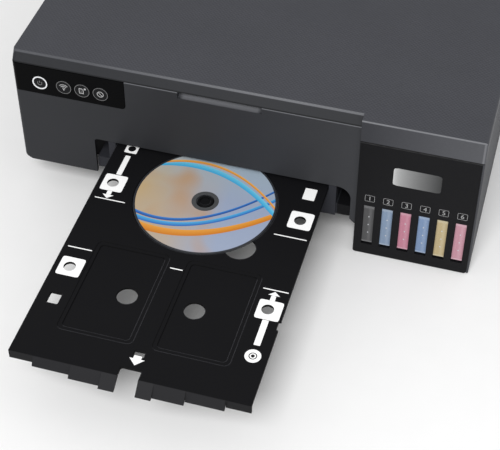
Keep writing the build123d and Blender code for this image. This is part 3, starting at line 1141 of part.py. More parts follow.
def output_extension():
    """The second stage, lying in the first."""
    y0, y1 = FRONT + BASE_RECESS + 2, FRONT + BASE_RECESS + OUTPUT_LENGTH - 4
    z0 = FRONT_BOTTOM + 2 * RUN_GAP + OUTPUT_WEB
    half = OUTPUT_HALF - OUTPUT_RAIL - RUN_GAP
    plate = block(PATH_X - half, PATH_X + half, y0, y1, z0, z0 + EXTENSION_T)
    plate -= block(PATH_X - 30, PATH_X + 30, y0 + 30, y1 - 30, z0 - 1, z0 + 4)
    return plate


PIECES = {
    "upper_housing": upper_housing, "right_side_cover": right_side_cover, "base_pan": base_pan,
    "rubber_feet": rubber_feet, "lid": lid, "control_panel": control_panel, "power_ring": power_ring,
    "tank_front_panel": tank_front_panel, "disc_tray": disc_tray, "disc": disc, "tray_guides": tray_guides,
    "side_plates": side_plates, "platen": platen, "feed_roller": feed_roller, "exit_roller": exit_roller,
    "feed_gear": feed_gear, "exit_gear": exit_gear, "idler_gear": idler_gear, "feed_pinion": feed_pinion,
    "feed_motor": feed_motor, "pinch_rollers": pinch_rollers, "star_wheel_rail": star_wheel_rail,
    "main_frame": main_frame, "guide_shaft": guide_shaft, "carriage": carriage, "print_head": print_head,
    "drive_pulley": drive_pulley, "idler_pulley": idler_pulley, "carriage_motor": carriage_motor,
    "timing_belt": timing_belt, "encoder_strip": encoder_strip, "ink_tubes": ink_tubes,
    "capping_station": capping_station, "waste_pad": waste_pad, "power_supply": power_supply,
    "power_inlet": power_inlet, "main_board": main_board, "feeder_frame": feeder_frame,
    "pickup_roller": pickup_roller, "paper_support": paper_support, "output_tray": output_tray,
    "output_extension": output_extension,
}

os.makedirs("parts", exist_ok=True)
solids = {name: make() for name, make in PIECES.items()}
solids.update({name: button(name) for name in BUTTON_XS})
solids.update({f"ink_tank_{index + 1}": ink_tank(index) for index in range(TANK_COUNT)})
solids.update({f"tank_cap_{index + 1}": tank_cap(index) for index in range(TANK_COUNT)})
solids["edge_guide_left"] = edge_guide(-1)
solids["edge_guide_right"] = edge_guide(1)
for name, solid in solids.items():
    export_step(solid, f"parts/{name}.step")
print(len(solids), "nodes")
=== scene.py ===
"""A six-colour photo printer with its disc tray out: the finish of every piece, its printed marks,
and the studio."""

import math

import bpy
import numpy as np
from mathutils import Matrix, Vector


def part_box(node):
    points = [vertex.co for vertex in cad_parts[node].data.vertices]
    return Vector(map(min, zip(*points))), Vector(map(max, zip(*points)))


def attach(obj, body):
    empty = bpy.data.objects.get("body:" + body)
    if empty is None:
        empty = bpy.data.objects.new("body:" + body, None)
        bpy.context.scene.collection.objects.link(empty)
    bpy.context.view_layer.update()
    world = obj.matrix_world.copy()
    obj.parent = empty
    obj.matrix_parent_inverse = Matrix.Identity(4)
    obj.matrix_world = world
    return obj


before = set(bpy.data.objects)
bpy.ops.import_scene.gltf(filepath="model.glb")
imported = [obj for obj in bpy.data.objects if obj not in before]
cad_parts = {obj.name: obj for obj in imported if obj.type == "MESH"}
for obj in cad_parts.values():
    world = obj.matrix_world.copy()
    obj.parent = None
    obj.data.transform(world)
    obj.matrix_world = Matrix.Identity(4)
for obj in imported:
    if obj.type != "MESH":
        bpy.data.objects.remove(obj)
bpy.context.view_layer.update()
MM = 0.001
INF = math.inf

# ---------------------------------------------------------------- places read from the frame
case_low, case_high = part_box("upper_housing")
tray_low, tray_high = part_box("disc_tray")
disc_low, disc_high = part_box("disc")
tank_low, tank_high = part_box("tank_front_panel")

LID_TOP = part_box("lid")[1].z
FRONT = case_low.y                       # main front plane
LEFT, RIGHT = case_low.x, case_high.x
PATH_X = (tray_low.x + tray_high.x) / 2  # centre line of the tray and of the paper's path
HUB_PROUD = 0.3 * MM                     # the tray's hub stands this far over its flat
TRAY_TOP = tray_high.z - HUB_PROUD
DISC_CENTRE = (disc_low + disc_high) / 2
DISC_TOP = disc_high.z
TANK_COUNT = 6
TANK_FRONT = tank_low.y
TANK_X = tank_low.x                      # left side of the tank unit
LID_GAP = 0.2 * MM
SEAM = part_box("control_panel")[1].z + LID_GAP  # the lid closes on the case here
CREASE = FRONT - 234.3 * MM              # where the tray's lip turns down

INK = 0.05 * MM                          # thickness of a printed mark


# ---------------------------------------------------------------- colour and nodes
SHARP = 0.2 * MM                         # half the width of a sharp change of colour
SPREAD = {1: 0.3, 2: 0.7}                # Map Range inputs: most of a noise's values lie here
COLOURS = {"data_type": "RGBA", "out": 2}  # a Mix of two colours, which are its inputs 6 and 7
WEAVE_PITCH = 3.5 * MM                   # from diamond to diamond, coarse enough to show
HIGHLIGHT_SIDE = (-0.55, 0.83, 0.0)           # relief flanks that face this way, to the rear and the left, get a painted highlight
HIGHLIGHT_STARTS, HIGHLIGHT_FULL = 0.03, 0.18      # how far relief has to turn that way to show its painted highlight


def srgb(code):
    """An sRGB hex colour as linear RGBA."""
    parts = [int(code[i:i + 2], 16) / 255 for i in (0, 2, 4)]
    return [c / 12.92 if c <= 0.04045 else ((c + 0.055) / 1.055) ** 2.4 for c in parts] + [1.0]


def connect(tree, node, inputs):
    """Gives each named input of a node a value or another node's output."""
    for socket, value in dict(inputs).items():
        if isinstance(value, bpy.types.NodeSocket):
            tree.links.new(value, node.inputs[socket])
        else:
            node.inputs[socket].default_value = value


def add(tree, kind, inputs=(), out=0, **settings):
    """Adds a node with its settings and links, and returns one of its outputs."""
    made = tree.nodes.new("ShaderNode" + kind)
    for name, value in settings.items():
        setattr(made, name, value)
    connect(tree, made, inputs)
    return made.outputs[out]


def new_material(name):
    """A material with its node tree and the object-space position that its patterns read."""
    material = bpy.data.materials.new(name)
    material.use_nodes = True
    return material, material.node_tree, add(material.node_tree, "TexCoord", out="Object")


def surfaced(material, **sockets):
    """Sets or links the shader's sockets, named with underscores for spaces."""
    tree = material.node_tree
    connect(tree, tree.nodes["Principled BSDF"],
            {name.replace("_", " "): value for name, value in sockets.items()})
    return material


def mottled(tree, colour, noise, dark, light):
    """A colour times a tone that a noise carries from dark to light."""
    tone = add(tree, "MapRange", {0: noise, **SPREAD, 3: dark, 4: light})
    return add(tree, "HueSaturation", {"Color": colour, "Value": tone})


def zone(colour, x=(-INF, INF), y=(-INF, INF), z=(-INF, INF), blend=SHARP):
    """A box with a colour of its own. Its sides along x are as soft as blend, the others sharp."""
    return colour, (x, y, z), blend


def within(tree, place, box, blend):
    """1 inside a box and 0 outside it: a ramp across each side, all multiplied together."""
    share = None
    for axis, sides in enumerate(box):
        value = add(tree, "SeparateXYZ", {0: place}, out=axis)
        soft = blend if axis == 0 else SHARP
        for edge, sign in zip(sides, (1, -1)):
            if math.isinf(edge):
                continue
            ramp = {0: value, 1: edge - sign * soft, 2: edge + sign * soft}
            side = add(tree, "MapRange", ramp)
            if share is None:
                share = side
            else:
                share = add(tree, "Math", {0: share, 1: side}, operation="MULTIPLY")
    return share


def diamonds(tree, place, floor):
    """Rows of small diamonds above a height: the sine of x by the sine of y, both of one pitch."""
    parts = add(tree, "SeparateXYZ", {0: place}).node.outputs
    waves = []
    for axis in ("X", "Y"):
        turns = {0: parts[axis], 1: 2 * math.pi / WEAVE_PITCH}
        turned = add(tree, "Math", turns, operation="MULTIPLY")
        waves.append(add(tree, "Math", {0: turned}, operation="SINE"))
    lattice = add(tree, "Math", {0: waves[0], 1: waves[1]}, operation="MULTIPLY")
    top = add(tree, "MapRange", {0: parts["Z"], 1: floor - 0.1 * MM, 2: floor})
    return add(tree, "Math", {0: lattice, 1: top}, operation="MULTIPLY")


# ---------------------------------------------------------------- finishes
def moulded_plastic(name, colour, roughness=0.5, grain=0.9, depth=0.012, stretch=(1, 1, 1),
                    specular=0.15, mottle=0.05, edge=0.35, zones=(), woven_from=None, relief_highlight=None):
    """Injection-moulded ABS from a spark-eroded tool: an even grain that scatters the light, with
    soft edges. The real grain is about 0.1 mm, too fine to show, so it is drawn coarser. Grain,
    depth and edge are in millimetres. In each zone the surface has another colour; most zones
    given here are painted light, a painted highlight on a crest or painted shade on a face. Above
    the height woven_from the tool was etched with rows of small diamonds, with painted light on
    them. Low relief can have its flanks that face the rear and the left painted a paler colour of
    their own, a painted highlight, and the opposite ones painted dark, a painted shade."""
    material, tree, place = new_material(name)
    scaled = add(tree, "Mapping", {"Vector": place, "Scale": [s / (grain * MM) for s in stretch]})
    pits = add(tree, "TexNoise", {"Vector": scaled, "Scale": 1.0, "Detail": 3.0, "Roughness": 0.6})
    cloud = add(tree, "TexNoise", {"Vector": place, "Scale": 1 / (55.56 * MM), "Detail": 2.0})
    fine = add(tree, "MapRange", {0: pits, **SPREAD, 3: 1 - mottle, 4: 1 + mottle})
    broad = add(tree, "MapRange", {0: cloud, **SPREAD, 3: 0.97, 4: 1.03})
    tone = add(tree, "Math", {0: fine, 1: broad}, operation="MULTIPLY")
    if woven_from is not None:
        raised = diamonds(tree, place, woven_from)
        pits = add(tree, "Math", {0: raised, 1: 2.0, 2: pits}, operation="MULTIPLY_ADD")
        # painted light on the weave: raised diamonds paler, hollows darker
        lit = add(tree, "MapRange", {0: raised, 1: -1.0, 2: 1.0, 3: 0.85, 4: 1.15})
        tone = add(tree, "Math", {0: lit, 1: tone}, operation="MULTIPLY")
    rounded = add(tree, "Bevel", {"Radius": edge * MM}, samples=4)
    plain = srgb(colour)
    # painted highlight on relief flanks that face the rear and left, painted shade on the opposite
    # ones
    if relief_highlight is not None:
        facing = add(tree, "VectorMath", {0: rounded, 1: HIGHLIGHT_SIDE}, "Value",
                     operation="DOT_PRODUCT")
        highlight_share = add(tree, "MapRange", {0: facing, 1: HIGHLIGHT_STARTS, 2: HIGHLIGHT_FULL})
        dark = add(tree, "MapRange", {0: facing, 1: -HIGHLIGHT_STARTS, 2: -HIGHLIGHT_FULL, 4: 0.9})
        plain = add(tree, "Mix", {0: highlight_share, 6: plain, 7: srgb(relief_highlight)}, **COLOURS)
        # the painted shade: near black on the flanks that face the front and right
        plain = add(tree, "Mix", {0: dark, 6: plain, 7: srgb("040405")}, **COLOURS)
    for other, box, blend in zones:
        share = within(tree, place, box, blend)
        plain = add(tree, "Mix", {0: share, 6: plain, 7: srgb(other)}, **COLOURS)
    base = add(tree, "HueSaturation", {"Color": plain, "Value": tone})
    bumped = add(tree, "Bump", {"Distance": depth * MM, "Height": pits, "Normal": rounded})
    gloss = add(tree, "MapRange", {0: pits, **SPREAD, 3: roughness - 0.06, 4: roughness + 0.06})
    return surfaced(material, Base_Color=base, Normal=bumped, Specular_IOR_Level=specular,
                    Roughness=gloss)


def gloss_plastic(name, colour, roughness=0.12, specular=0.3, edge=0.3):
    """Polished-tool plastic: mirror-smooth with a slow waviness from shrinkage, 18 mm from swell
    to swell, and a faint haze of 4 mm."""
    material, tree, place = new_material(name)
    swell = add(tree, "TexNoise", {"Vector": place, "Scale": 1 / (18.18 * MM), "Detail": 1.0})
    haze = add(tree, "TexNoise", {"Vector": place, "Scale": 1 / (3.846 * MM), "Detail": 4.0})
    rounded = add(tree, "Bevel", {"Radius": edge * MM}, samples=4)
    bumped = add(tree, "Bump", {"Distance": 0.02 * MM, "Height": swell, "Normal": rounded})
    gloss = add(tree, "MapRange", {0: haze, **SPREAD, 3: roughness * 0.8, 4: roughness * 1.3})
    return surfaced(material, Base_Color=mottled(tree, srgb(colour), haze, 0.92, 1.08),
                    Normal=bumped, Specular_IOR_Level=specular, Roughness=gloss)


def brushed_steel(name, colour="A9ABAE", roughness=0.34, run=(1, 40, 40)):
    """Zinc-plated, drawn or ground steel: lines along the rolling direction, as many times finer
    than 17 mm as run says for each axis, under plating that clouds every 11 mm."""
    material, tree, place = new_material(name)
    lined = add(tree, "Mapping", {"Vector": place, "Scale": [r / (16.67 * MM) for r in run]})
    lines = add(tree, "TexNoise", {"Vector": lined, "Scale": 1.0, "Detail": 5.0, "Roughness": 0.7})
    cloud = add(tree, "TexNoise", {"Vector": place, "Scale": 1 / (11.11 * MM), "Detail": 3.0})
    bumped = add(tree, "Bump", {"Distance": 0.01 * MM, "Height": lines})
    gloss = add(tree, "MapRange", {0: lines, **SPREAD, 3: roughness - 0.08, 4: roughness + 0.1})
    return surfaced(material, Base_Color=mottled(tree, srgb(colour), cloud, 0.88, 1.1),
                    Normal=bumped, Metallic=1.0, Roughness=gloss)


def soft_rubber(name, colour, grit=0.6, depth=0.03, roughness=0.75):
    """Moulded or ground rubber: matt, with a fine grit. Grit and depth are in millimetres."""
    material, tree, place = new_material(name)
    grains = add(tree, "TexNoise", {"Vector": place, "Scale": 1 / (grit * MM), "Detail": 2.0})
    bumped = add(tree, "Bump", {"Distance": depth * MM, "Height": grains})
    return surfaced(material, Base_Color=mottled(tree, srgb(colour), grains, 0.85, 1.15),
                    Normal=bumped, Roughness=roughness, Specular_IOR_Level=0.25)


INK_FADES = (53.8 * MM, 55.4 * MM)       # the ink's level: its colour ends over this height
FOOT_GLINT_FADES = (16.6 * MM, 15.6 * MM)      # the pale colour again downwards: a painted glint at the tank's foot
HIGHLIGHT_OFFSET = 1.4 * MM                 # the painted highlight streak's middle, right of the window's
HIGHLIGHT_FADES = (0.2 * MM, 1.9 * MM)      # from the painted highlight streak's middle outwards
SIDE_SHADE_FADES = (3.0 * MM, 4.6 * MM)        # from the window's middle outwards, the wall turns away into painted shade


def frosted_tank(name, ink, pale, middle):
    """Moulded polypropylene with ink behind it: milky, with a 1.1 mm grain and a paler band above
    the ink, a painted glint at its foot, a painted highlight streak up its level window, and
    painted shade on its sides where the wall turns away."""
    material, tree, place = new_material(name)
    parts = add(tree, "SeparateXYZ", {0: place}).node.outputs
    across = add(tree, "Math", {0: parts["X"], 1: middle}, operation="SUBTRACT")
    grain = add(tree, "TexNoise", {"Vector": place, "Scale": 1 / (1.111 * MM), "Detail": 3.0})
    waver = add(tree, "MapRange", {0: grain, **SPREAD, 3: -0.4 * MM, 4: 0.4 * MM})
    height = add(tree, "Math", {0: parts["Z"], 1: waver})
    above = add(tree, "MapRange", {0: height, 1: INK_FADES[0], 2: INK_FADES[1], 4: 0.55})
    # painted glint: the tank's foot turns pale
    foot_glint = add(tree, "MapRange", {0: height, 1: FOOT_GLINT_FADES[0], 2: FOOT_GLINT_FADES[1], 4: 0.7})
    paler_and_highlight = add(tree, "Math", {0: above, 1: foot_glint}, operation="MAXIMUM")
    # painted highlight: a pale streak up the window
    off_highlight = add(tree, "Math", {0: across, 1: HIGHLIGHT_OFFSET}, operation="SUBTRACT")
    off_highlight = add(tree, "Math", {0: off_highlight}, operation="ABSOLUTE")
    streak = add(tree, "MapRange", {0: off_highlight, 1: HIGHLIGHT_FADES[0], 2: HIGHLIGHT_FADES[1],
                                    3: 0.3, 4: 0.0})
    paler_and_highlight = add(tree, "Math", {0: paler_and_highlight, 1: streak}, operation="MAXIMUM")
    # painted shade: the window darker where its wall turns away
    from_middle = add(tree, "Math", {0: across}, operation="ABSOLUTE")
    turned = add(tree, "MapRange", {0: from_middle, 1: SIDE_SHADE_FADES[0], 2: SIDE_SHADE_FADES[1],
                                    3: 1.0, 4: 0.8})
    milky = add(tree, "MapRange", {0: grain, **SPREAD, 3: 0.94, 4: 1.06})
    tone = add(tree, "Math", {0: milky, 1: turned}, operation="MULTIPLY")
    toned = add(tree, "HueSaturation", {"Color": srgb(ink), "Value": tone})
    base = add(tree, "Mix", {0: paler_and_highlight, 6: toned, 7: srgb(pale)}, **COLOURS)
    bumped = add(tree, "Bump", {"Distance": 0.03 * MM, "Height": grain})
    return surfaced(material, Base_Color=base, Normal=bumped, Roughness=0.42,
                    Specular_IOR_Level=0.35)


def clear_film(name, colour, alpha):
    """Thin clear or tinted film or tube: see-through, with gloss that changes every 2.5 mm."""
    material, tree, place = new_material(name)
    streak = add(tree, "TexNoise", {"Vector": place, "Scale": 1 / (2.5 * MM), "Detail": 2.0})
    gloss = add(tree, "MapRange", {0: streak, **SPREAD, 3: 0.15, 4: 0.3})
    return surfaced(material, Base_Color=srgb(colour), Alpha=alpha, Roughness=gloss)


def felted(name, colour):
    """Needled felt: short crossed fibres, in tufts of 1.4 mm."""
    material, tree, place = new_material(name)
    fibres = add(tree, "TexNoise", {"Vector": place, "Scale": 1 / (1.429 * MM), "Detail": 6.0,
                                    "Roughness": 0.8, "Distortion": 2.0})
    bumped = add(tree, "Bump", {"Distance": 0.2 * MM, "Height": fibres})
    return surfaced(material, Base_Color=mottled(tree, srgb(colour), fibres, 0.7, 1.15),
                    Normal=bumped, Roughness=0.95, Sheen_Weight=0.3)


def printed_ink(name, colour):
    """Pad-printed ink: flat colour with slight pinholes, 0.7 mm apart."""
    material, tree, place = new_material(name)
    cover = add(tree, "TexNoise", {"Vector": place, "Scale": 1 / (0.6667 * MM), "Detail": 3.0})
    tone = add(tree, "MapRange", {0: cover, 1: 0.25, 2: 0.6, 3: 0.95, 4: 1.02})
    base = add(tree, "HueSaturation", {"Color": srgb(colour), "Value": tone})
    return surfaced(material, Base_Color=base, Roughness=0.5, Specular_IOR_Level=0.25)


# The ribbons on the disc: each one's height over the centre in mm, its slope, its bend per metre,
# half its width in mm, and the colours of its front and rear edges.
RIBBONS = [(-38, 0.30, 5.5, 3.4, "C7761D", "E09A3E"), (-27, 0.42, 6.5, 2.2, "2C63B4", "4FA9DC"),
           (-20.5, 0.50, 7.5, 1.5, "1F3F8E", "3D7FC8"), (36, -0.25, -6.0, 2.6, "3AA3D6", "6FC6E4"),
           (42.5, -0.20, -7.0, 1.2, "D8892F", "E9AE5C")]
RIBBON_EDGE = 0.35                       # softness of a ribbon's edge, in mm


def disc_print(name):
    """Ink-jet print on a disc's matt white coat: a soft pale blue and tan ground under swept
    ribbons, each of which follows its height + slope x + bend x squared."""
    material, tree, place = new_material(name)
    centring = {"Vector": place, "Location": [-DISC_CENTRE.x, -DISC_CENTRE.y, 0]}
    centred = add(tree, "Mapping", centring)
    parts = add(tree, "SeparateXYZ", {0: centred}).node.outputs
    across, along = parts["X"], parts["Y"]
    drift = add(tree, "TexNoise", {"Vector": centred, "Scale": 1 / (62.5 * MM), "Detail": 2.0})
    swayed = add(tree, "Math", {0: drift, 1: 60 * MM, 2: across}, operation="MULTIPLY_ADD")
    bluer = add(tree, "MapRange", {0: swayed, 1: -25 * MM, 2: 50 * MM})
    shown = add(tree, "Mix", {0: bluer, 6: srgb("BCA47E"), 7: srgb("98A4BC")}, **COLOURS)
    paler = add(tree, "MapRange", {0: along, 1: 5 * MM, 2: 50 * MM, 4: 0.85})
    shown = add(tree, "Mix", {0: paler, 6: shown, 7: srgb("A6B8C4")}, **COLOURS)
    clouds = add(tree, "TexNoise", {"Vector": centred, "Scale": 1 / (37.04 * MM), "Detail": 1.0,
                                    "W": 4.0}, noise_dimensions="4D")
    warmer = add(tree, "MapRange", {0: clouds, 1: 0.55, 2: 0.75, 4: 0.7})
    shown = add(tree, "Mix", {0: warmer, 6: shown, 7: srgb("B98F62")}, **COLOURS)
    square = add(tree, "Math", {0: across, 1: across}, operation="MULTIPLY")
    for height, slope, bend, half, front, rear in RIBBONS:
        line = add(tree, "Math", {0: across, 1: slope, 2: height * MM}, operation="MULTIPLY_ADD")
        line = add(tree, "Math", {0: square, 1: bend, 2: line}, operation="MULTIPLY_ADD")
        away = add(tree, "Math", {0: along, 1: line}, operation="SUBTRACT")
        apart = add(tree, "Math", {0: away}, operation="ABSOLUTE")
        inside = add(tree, "MapRange", {0: apart, 1: half * MM, 2: (half + RIBBON_EDGE) * MM,
                                        3: 1.0, 4: 0.0})
        rearward = add(tree, "MapRange", {0: away, 1: -half * MM, 2: half * MM})
        ribbon = add(tree, "Mix", {0: rearward, 6: srgb(front), 7: srgb(rear)}, **COLOURS)
        shown = add(tree, "Mix", {0: inside, 6: shown, 7: ribbon}, **COLOURS)
    return surfaced(material, Base_Color=shown, Roughness=0.3, Specular_IOR_Level=0.4)


BRUSHING = (3.333 * MM, 3.333 * MM, 0.1111 * MM)  # length of its lines, and from one to the next


def silvered_plate(name):
    """Brushed aluminium foil under clear lacquer: fine level lines, and a painted reflection, a
    tone that falls off along its length as a power of the distance, pale at its left end and dark
    at its right."""
    material, tree, place = new_material(name)
    low = BADGE_CENTRE - BADGE_WIDTH / 2
    along = add(tree, "SeparateXYZ", {0: place}, out="X")
    run = add(tree, "MapRange", {0: along, 1: low, 2: low + BADGE_WIDTH})
    lined = add(tree, "Mapping", {"Vector": place, "Scale": [1 / size for size in BRUSHING]})
    lines = add(tree, "TexNoise", {"Vector": lined, "Scale": 1.0, "Detail": 3.0})
    # painted reflection: pale at the left end, dark at the right
    fall = add(tree, "Math", {0: run, 1: 0.34}, operation="POWER")
    tone = add(tree, "Mix", {0: fall, 6: srgb("E0E1E1"), 7: srgb("303132")}, **COLOURS)
    return surfaced(material, Base_Color=mottled(tree, tone, lines, 0.93, 1.05), Roughness=0.35,
                    Metallic=0.2)


# ---------------------------------------------------------------- outlines and thin pieces
def arc(x, y, radius, start, end, count=24):
    """Points evenly along an arc, between two angles in degrees."""
    angle = np.radians(np.linspace(start, end, count))
    return np.stack([x + radius * np.cos(angle), y + radius * np.sin(angle)], 1)


def round_outline(x, y, radius, count=48, start=0.0):
    """Points evenly round a circle, from an angle in radians."""
    angle = start + np.linspace(0, 2 * math.pi, count, endpoint=False)
    return np.stack([x + radius * np.cos(angle), y + radius * np.sin(angle)], 1)


def box_outline(x, y, width, height, radius, count=48):
    """A rectangle with round corners, its points spread evenly by angle as a circle's are: the
    larger of the two half-extents' ratios is held at 1, and each corner is pulled onto its arc."""
    angle = np.linspace(0, 2 * math.pi, count, endpoint=False) + math.pi / 4
    ray = np.stack([np.cos(angle), np.sin(angle)], 1)
    half = np.array([width, height]) / 2
    point = ray / np.abs(ray).max(axis=1, keepdims=True) * half
    inner = np.clip(point, -(half - radius), half - radius)
    out = point - inner
    reach = np.linalg.norm(out, axis=1, keepdims=True)
    cornered = (np.abs(out) > 1e-9).all(axis=1, keepdims=True)
    return np.where(cornered, inner + out / np.maximum(reach, 1e-9) * radius, point) + [x, y]


def traced_outline(corners, count=48):
    """A polygon's boundary, with points added evenly along it and every corner kept."""
    corners = np.array(corners, float)
    following = np.roll(corners, -1, 0)
    lengths = np.linalg.norm(following - corners, axis=1)
    shares = np.maximum(1, np.round(count * lengths / lengths.sum())).astype(int)
    shares[np.argmax(shares)] += count - shares.sum()
    return np.concatenate([a + (b - a) * np.linspace(0, 1, n, endpoint=False)[:, None]
                           for a, b, n in zip(corners, following, shares)])


def on_level(level):
    """Plan coordinates (x, y) to space, on a level surface at that height."""
    def lay(points, height):
        return np.stack([points[:, 0], points[:, 1], np.full(len(points), level + height)], 1)
    return lay


def on_face(depth, x=0.0, z=0.0):
    """Front-view coordinates, measured from (x, z), to space, on an upright face at that depth."""
    def lay(points, height):
        return np.stack([x + points[:, 0], np.full(len(points), depth - height),
                         z + points[:, 1]], 1)
    return lay


def put_piece(name, mesh, material, body):
    """Makes a piece of a mesh, gives it its finish and slot, and lets it ride on its body."""
    piece = bpy.data.objects.new(name, mesh)
    bpy.context.scene.collection.objects.link(piece)
    mesh.materials.clear()
    mesh.materials.append(material)
    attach(piece, body)


def put_mesh(name, layers, groups, material, body):
    """A piece from layers of points and groups of faces, each group one array for each corner."""
    faces = [face for group in groups for face in np.stack(group, 1).tolist()]
    mesh = bpy.data.meshes.new(name)
    mesh.from_pydata(np.concatenate(layers).tolist(), [], faces)
    mesh.update()
    put_piece(name, mesh, material, body)


def thin_piece(name, outer, inner, lay, material, body, thickness=INK,
               lift=0.0):
    """A flat piece between two outlines of as many points: top, underside, outer wall and inner
    wall. Where inner is None, both sides close on the middle of the outline."""
    count = len(outer)
    ring = np.arange(count)
    after = np.roll(ring, -1)
    groups = [(ring + count, after + count, after, ring)]
    if inner is None:
        inner = outer.mean(0, keepdims=True)
        groups += [(ring, after, np.full(count, 2 * count)),
                   (after + count, ring + count, np.full(count, 2 * count + 1))]
    else:
        groups += [(ring, after, after + 2 * count, ring + 2 * count),
                   (after + count, ring + count, ring + 3 * count, after + 3 * count),
                   (ring + 2 * count, after + 2 * count, after + 3 * count, ring + 3 * count)]
    layers = [lay(outline, height) for outline in (outer, inner)
              for height in (lift + thickness, lift)]
    put_mesh(name, layers, groups, material, body)


def stroke(name, path, width, lay, material, body):
    """A line of even width along a path: the path moved half the width to each side along its
    normal, with one face to close each end."""
    path = np.array(path, float)
    run = np.gradient(path, axis=0)
    run /= np.linalg.norm(run, axis=1, keepdims=True)
    side = np.stack([-run[:, 1], run[:, 0]], 1) * width / 2
    layers = [lay(line, height) for height in (INK, 0.0) for line in (path + side, path - side)]
    count = len(path)
    a = np.arange(count - 1)
    b = a + 1
    first, last = np.array([0]), np.array([count - 1])
    groups = [(a, b, b + count, a + count),
              (b + 2 * count, a + 2 * count, a + 3 * count, b + 3 * count),
              (b, a, a + 2 * count, b + 2 * count),
              (a + count, b + count, b + 3 * count, a + 3 * count),
              (first, first + count, first + 3 * count, first + 2 * count),
              (last + count, last, last + 2 * count, last + 3 * count)]
    put_mesh(name, layers, groups, material, body)


# ---------------------------------------------------------------- tank front: plate and labels
BADGE_CENTRE = LEFT + 351.45 * MM
BADGE_WIDTH, BADGE_HEIGHT, BADGE_CORNER = 39.7 * MM, 19.1 * MM, 2.4 * MM
BADGE_Z = 97.4 * MM
BADGE_THICKNESS, BADGE_SUNK = 0.35 * MM, 0.05 * MM
WINDOW_MIDDLE = LEFT + 352.75 * MM
WINDOW_PITCH = 15.54 * MM
LABEL_Z = 66.9 * MM
LABEL_WIDTH, LABEL_HEIGHT, LABEL_LINE = 8.3 * MM, 7.1 * MM, 0.3 * MM
LABEL_CORNER, LABEL_INNER_CORNER = 1.0 * MM, 0.6 * MM
FIGURE_HEIGHT = 4.4 * MM
FONT_SIZE = FIGURE_HEIGHT * 1.45         # a font's size, over the height of its figures
LEVEL_ZS = (44.8 * MM, 35.5 * MM, 26.2 * MM)
DOT_OFFSET, DOT_RADIUS, DOT_PROUD = 0.35 * MM, 0.6 * MM, 0.12 * MM


def window_x(index):
    """The middle of a tank's level window. They are counted from the left."""
    return WINDOW_MIDDLE + (index - (TANK_COUNT - 1) / 2) * WINDOW_PITCH


def badge_plate():
    """A bare silvered plate let into the tank's front, with round corners."""
    outline = box_outline(BADGE_CENTRE, BADGE_Z, BADGE_WIDTH, BADGE_HEIGHT, BADGE_CORNER, 64)
    thin_piece("badge_plate", outline, None, on_face(TANK_FRONT), silvered_plate("lacquered_foil"),
               "case", thickness=BADGE_THICKNESS, lift=-BADGE_SUNK)


def number(name, text, x, z, material):
    """A plain figure, made a mesh and stood on the tank's front."""
    curve = bpy.data.curves.new(name, "FONT")
    curve.body = text
    curve.size = FONT_SIZE
    curve.align_x = "CENTER"
    curve.extrude = INK / 2
    held = bpy.data.objects.new(name + ".text", curve)
    mesh = bpy.data.meshes.new_from_object(held)
    bpy.data.objects.remove(held)
    points = np.empty(len(mesh.vertices) * 3)
    mesh.vertices.foreach_get("co", points)
    points = points.reshape(-1, 3)
    points[:, 1] -= (points[:, 1].min() + points[:, 1].max()) / 2
    laid = np.stack([x + points[:, 0], TANK_FRONT - INK / 2 - points[:, 2], z + points[:, 1]], 1)
    mesh.vertices.foreach_set("co", laid.ravel())
    mesh.update()
    put_piece(name, mesh, material, "case")


def tank_labels(grey):
    """An outlined box with its number over each window."""
    for index in range(TANK_COUNT):
        x = window_x(index)
        outer = box_outline(x, LABEL_Z, LABEL_WIDTH, LABEL_HEIGHT, LABEL_CORNER)
        inner = box_outline(x, LABEL_Z, LABEL_WIDTH - 2 * LABEL_LINE,
                            LABEL_HEIGHT - 2 * LABEL_LINE, LABEL_INNER_CORNER)
        thin_piece(f"tank_label_{index + 1}", outer, inner, on_face(TANK_FRONT), grey, "case")
        number(f"tank_number_{index + 1}", str(index + 1), x, LABEL_Z, grey)


def level_dots(pale):
    """Three small raised level dots down the middle of each window."""
    for index in range(TANK_COUNT):
        lay = on_face(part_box(f"ink_tank_{index + 1}")[0].y)
        for step, z in enumerate(LEVEL_ZS):
            outline = round_outline(window_x(index) + DOT_OFFSET, z, DOT_RADIUS, 20)
            thin_piece(f"level_dot_{index + 1}_{step + 1}", outline, None, lay, pale, "case",
                       thickness=DOT_PROUD)


# ---------------------------------------------------------------- control panel: rings and signs
BUTTONS = {"power_button": 24.4, "wireless_button": 46.0, "status_button": 62.4,
           "cancel_button": 78.9}        # each one's centre, in mm from the left
BUTTON_Z = 123.0 * MM
RING_INSET = 0.55 * MM                   # from the button's edge to its hairline ring
RING_LINE = 0.4 * MM
SIGN_LINE, WAVE_LINE, SHEET_LINE, STOP_LINE = 0.5 * MM, 0.65 * MM, 0.4 * MM, 0.6 * MM
SHEET = [(-2.6, -3.0), (1.6, -3.0), (1.6, 1.0), (0.2, 2.6), (-2.6, 2.6)]  # in mm, as are its rows
SHEET_MIDDLE = (-0.5, -0.2)
SHEET_INSIDE = 0.74                      # size of the sheet's inner outline over its outer one
SHEET_ROWS = [(0.9, 0.0), (-0.4, 0.5), (-1.7, 0.5)]  # height of each row and where it ends


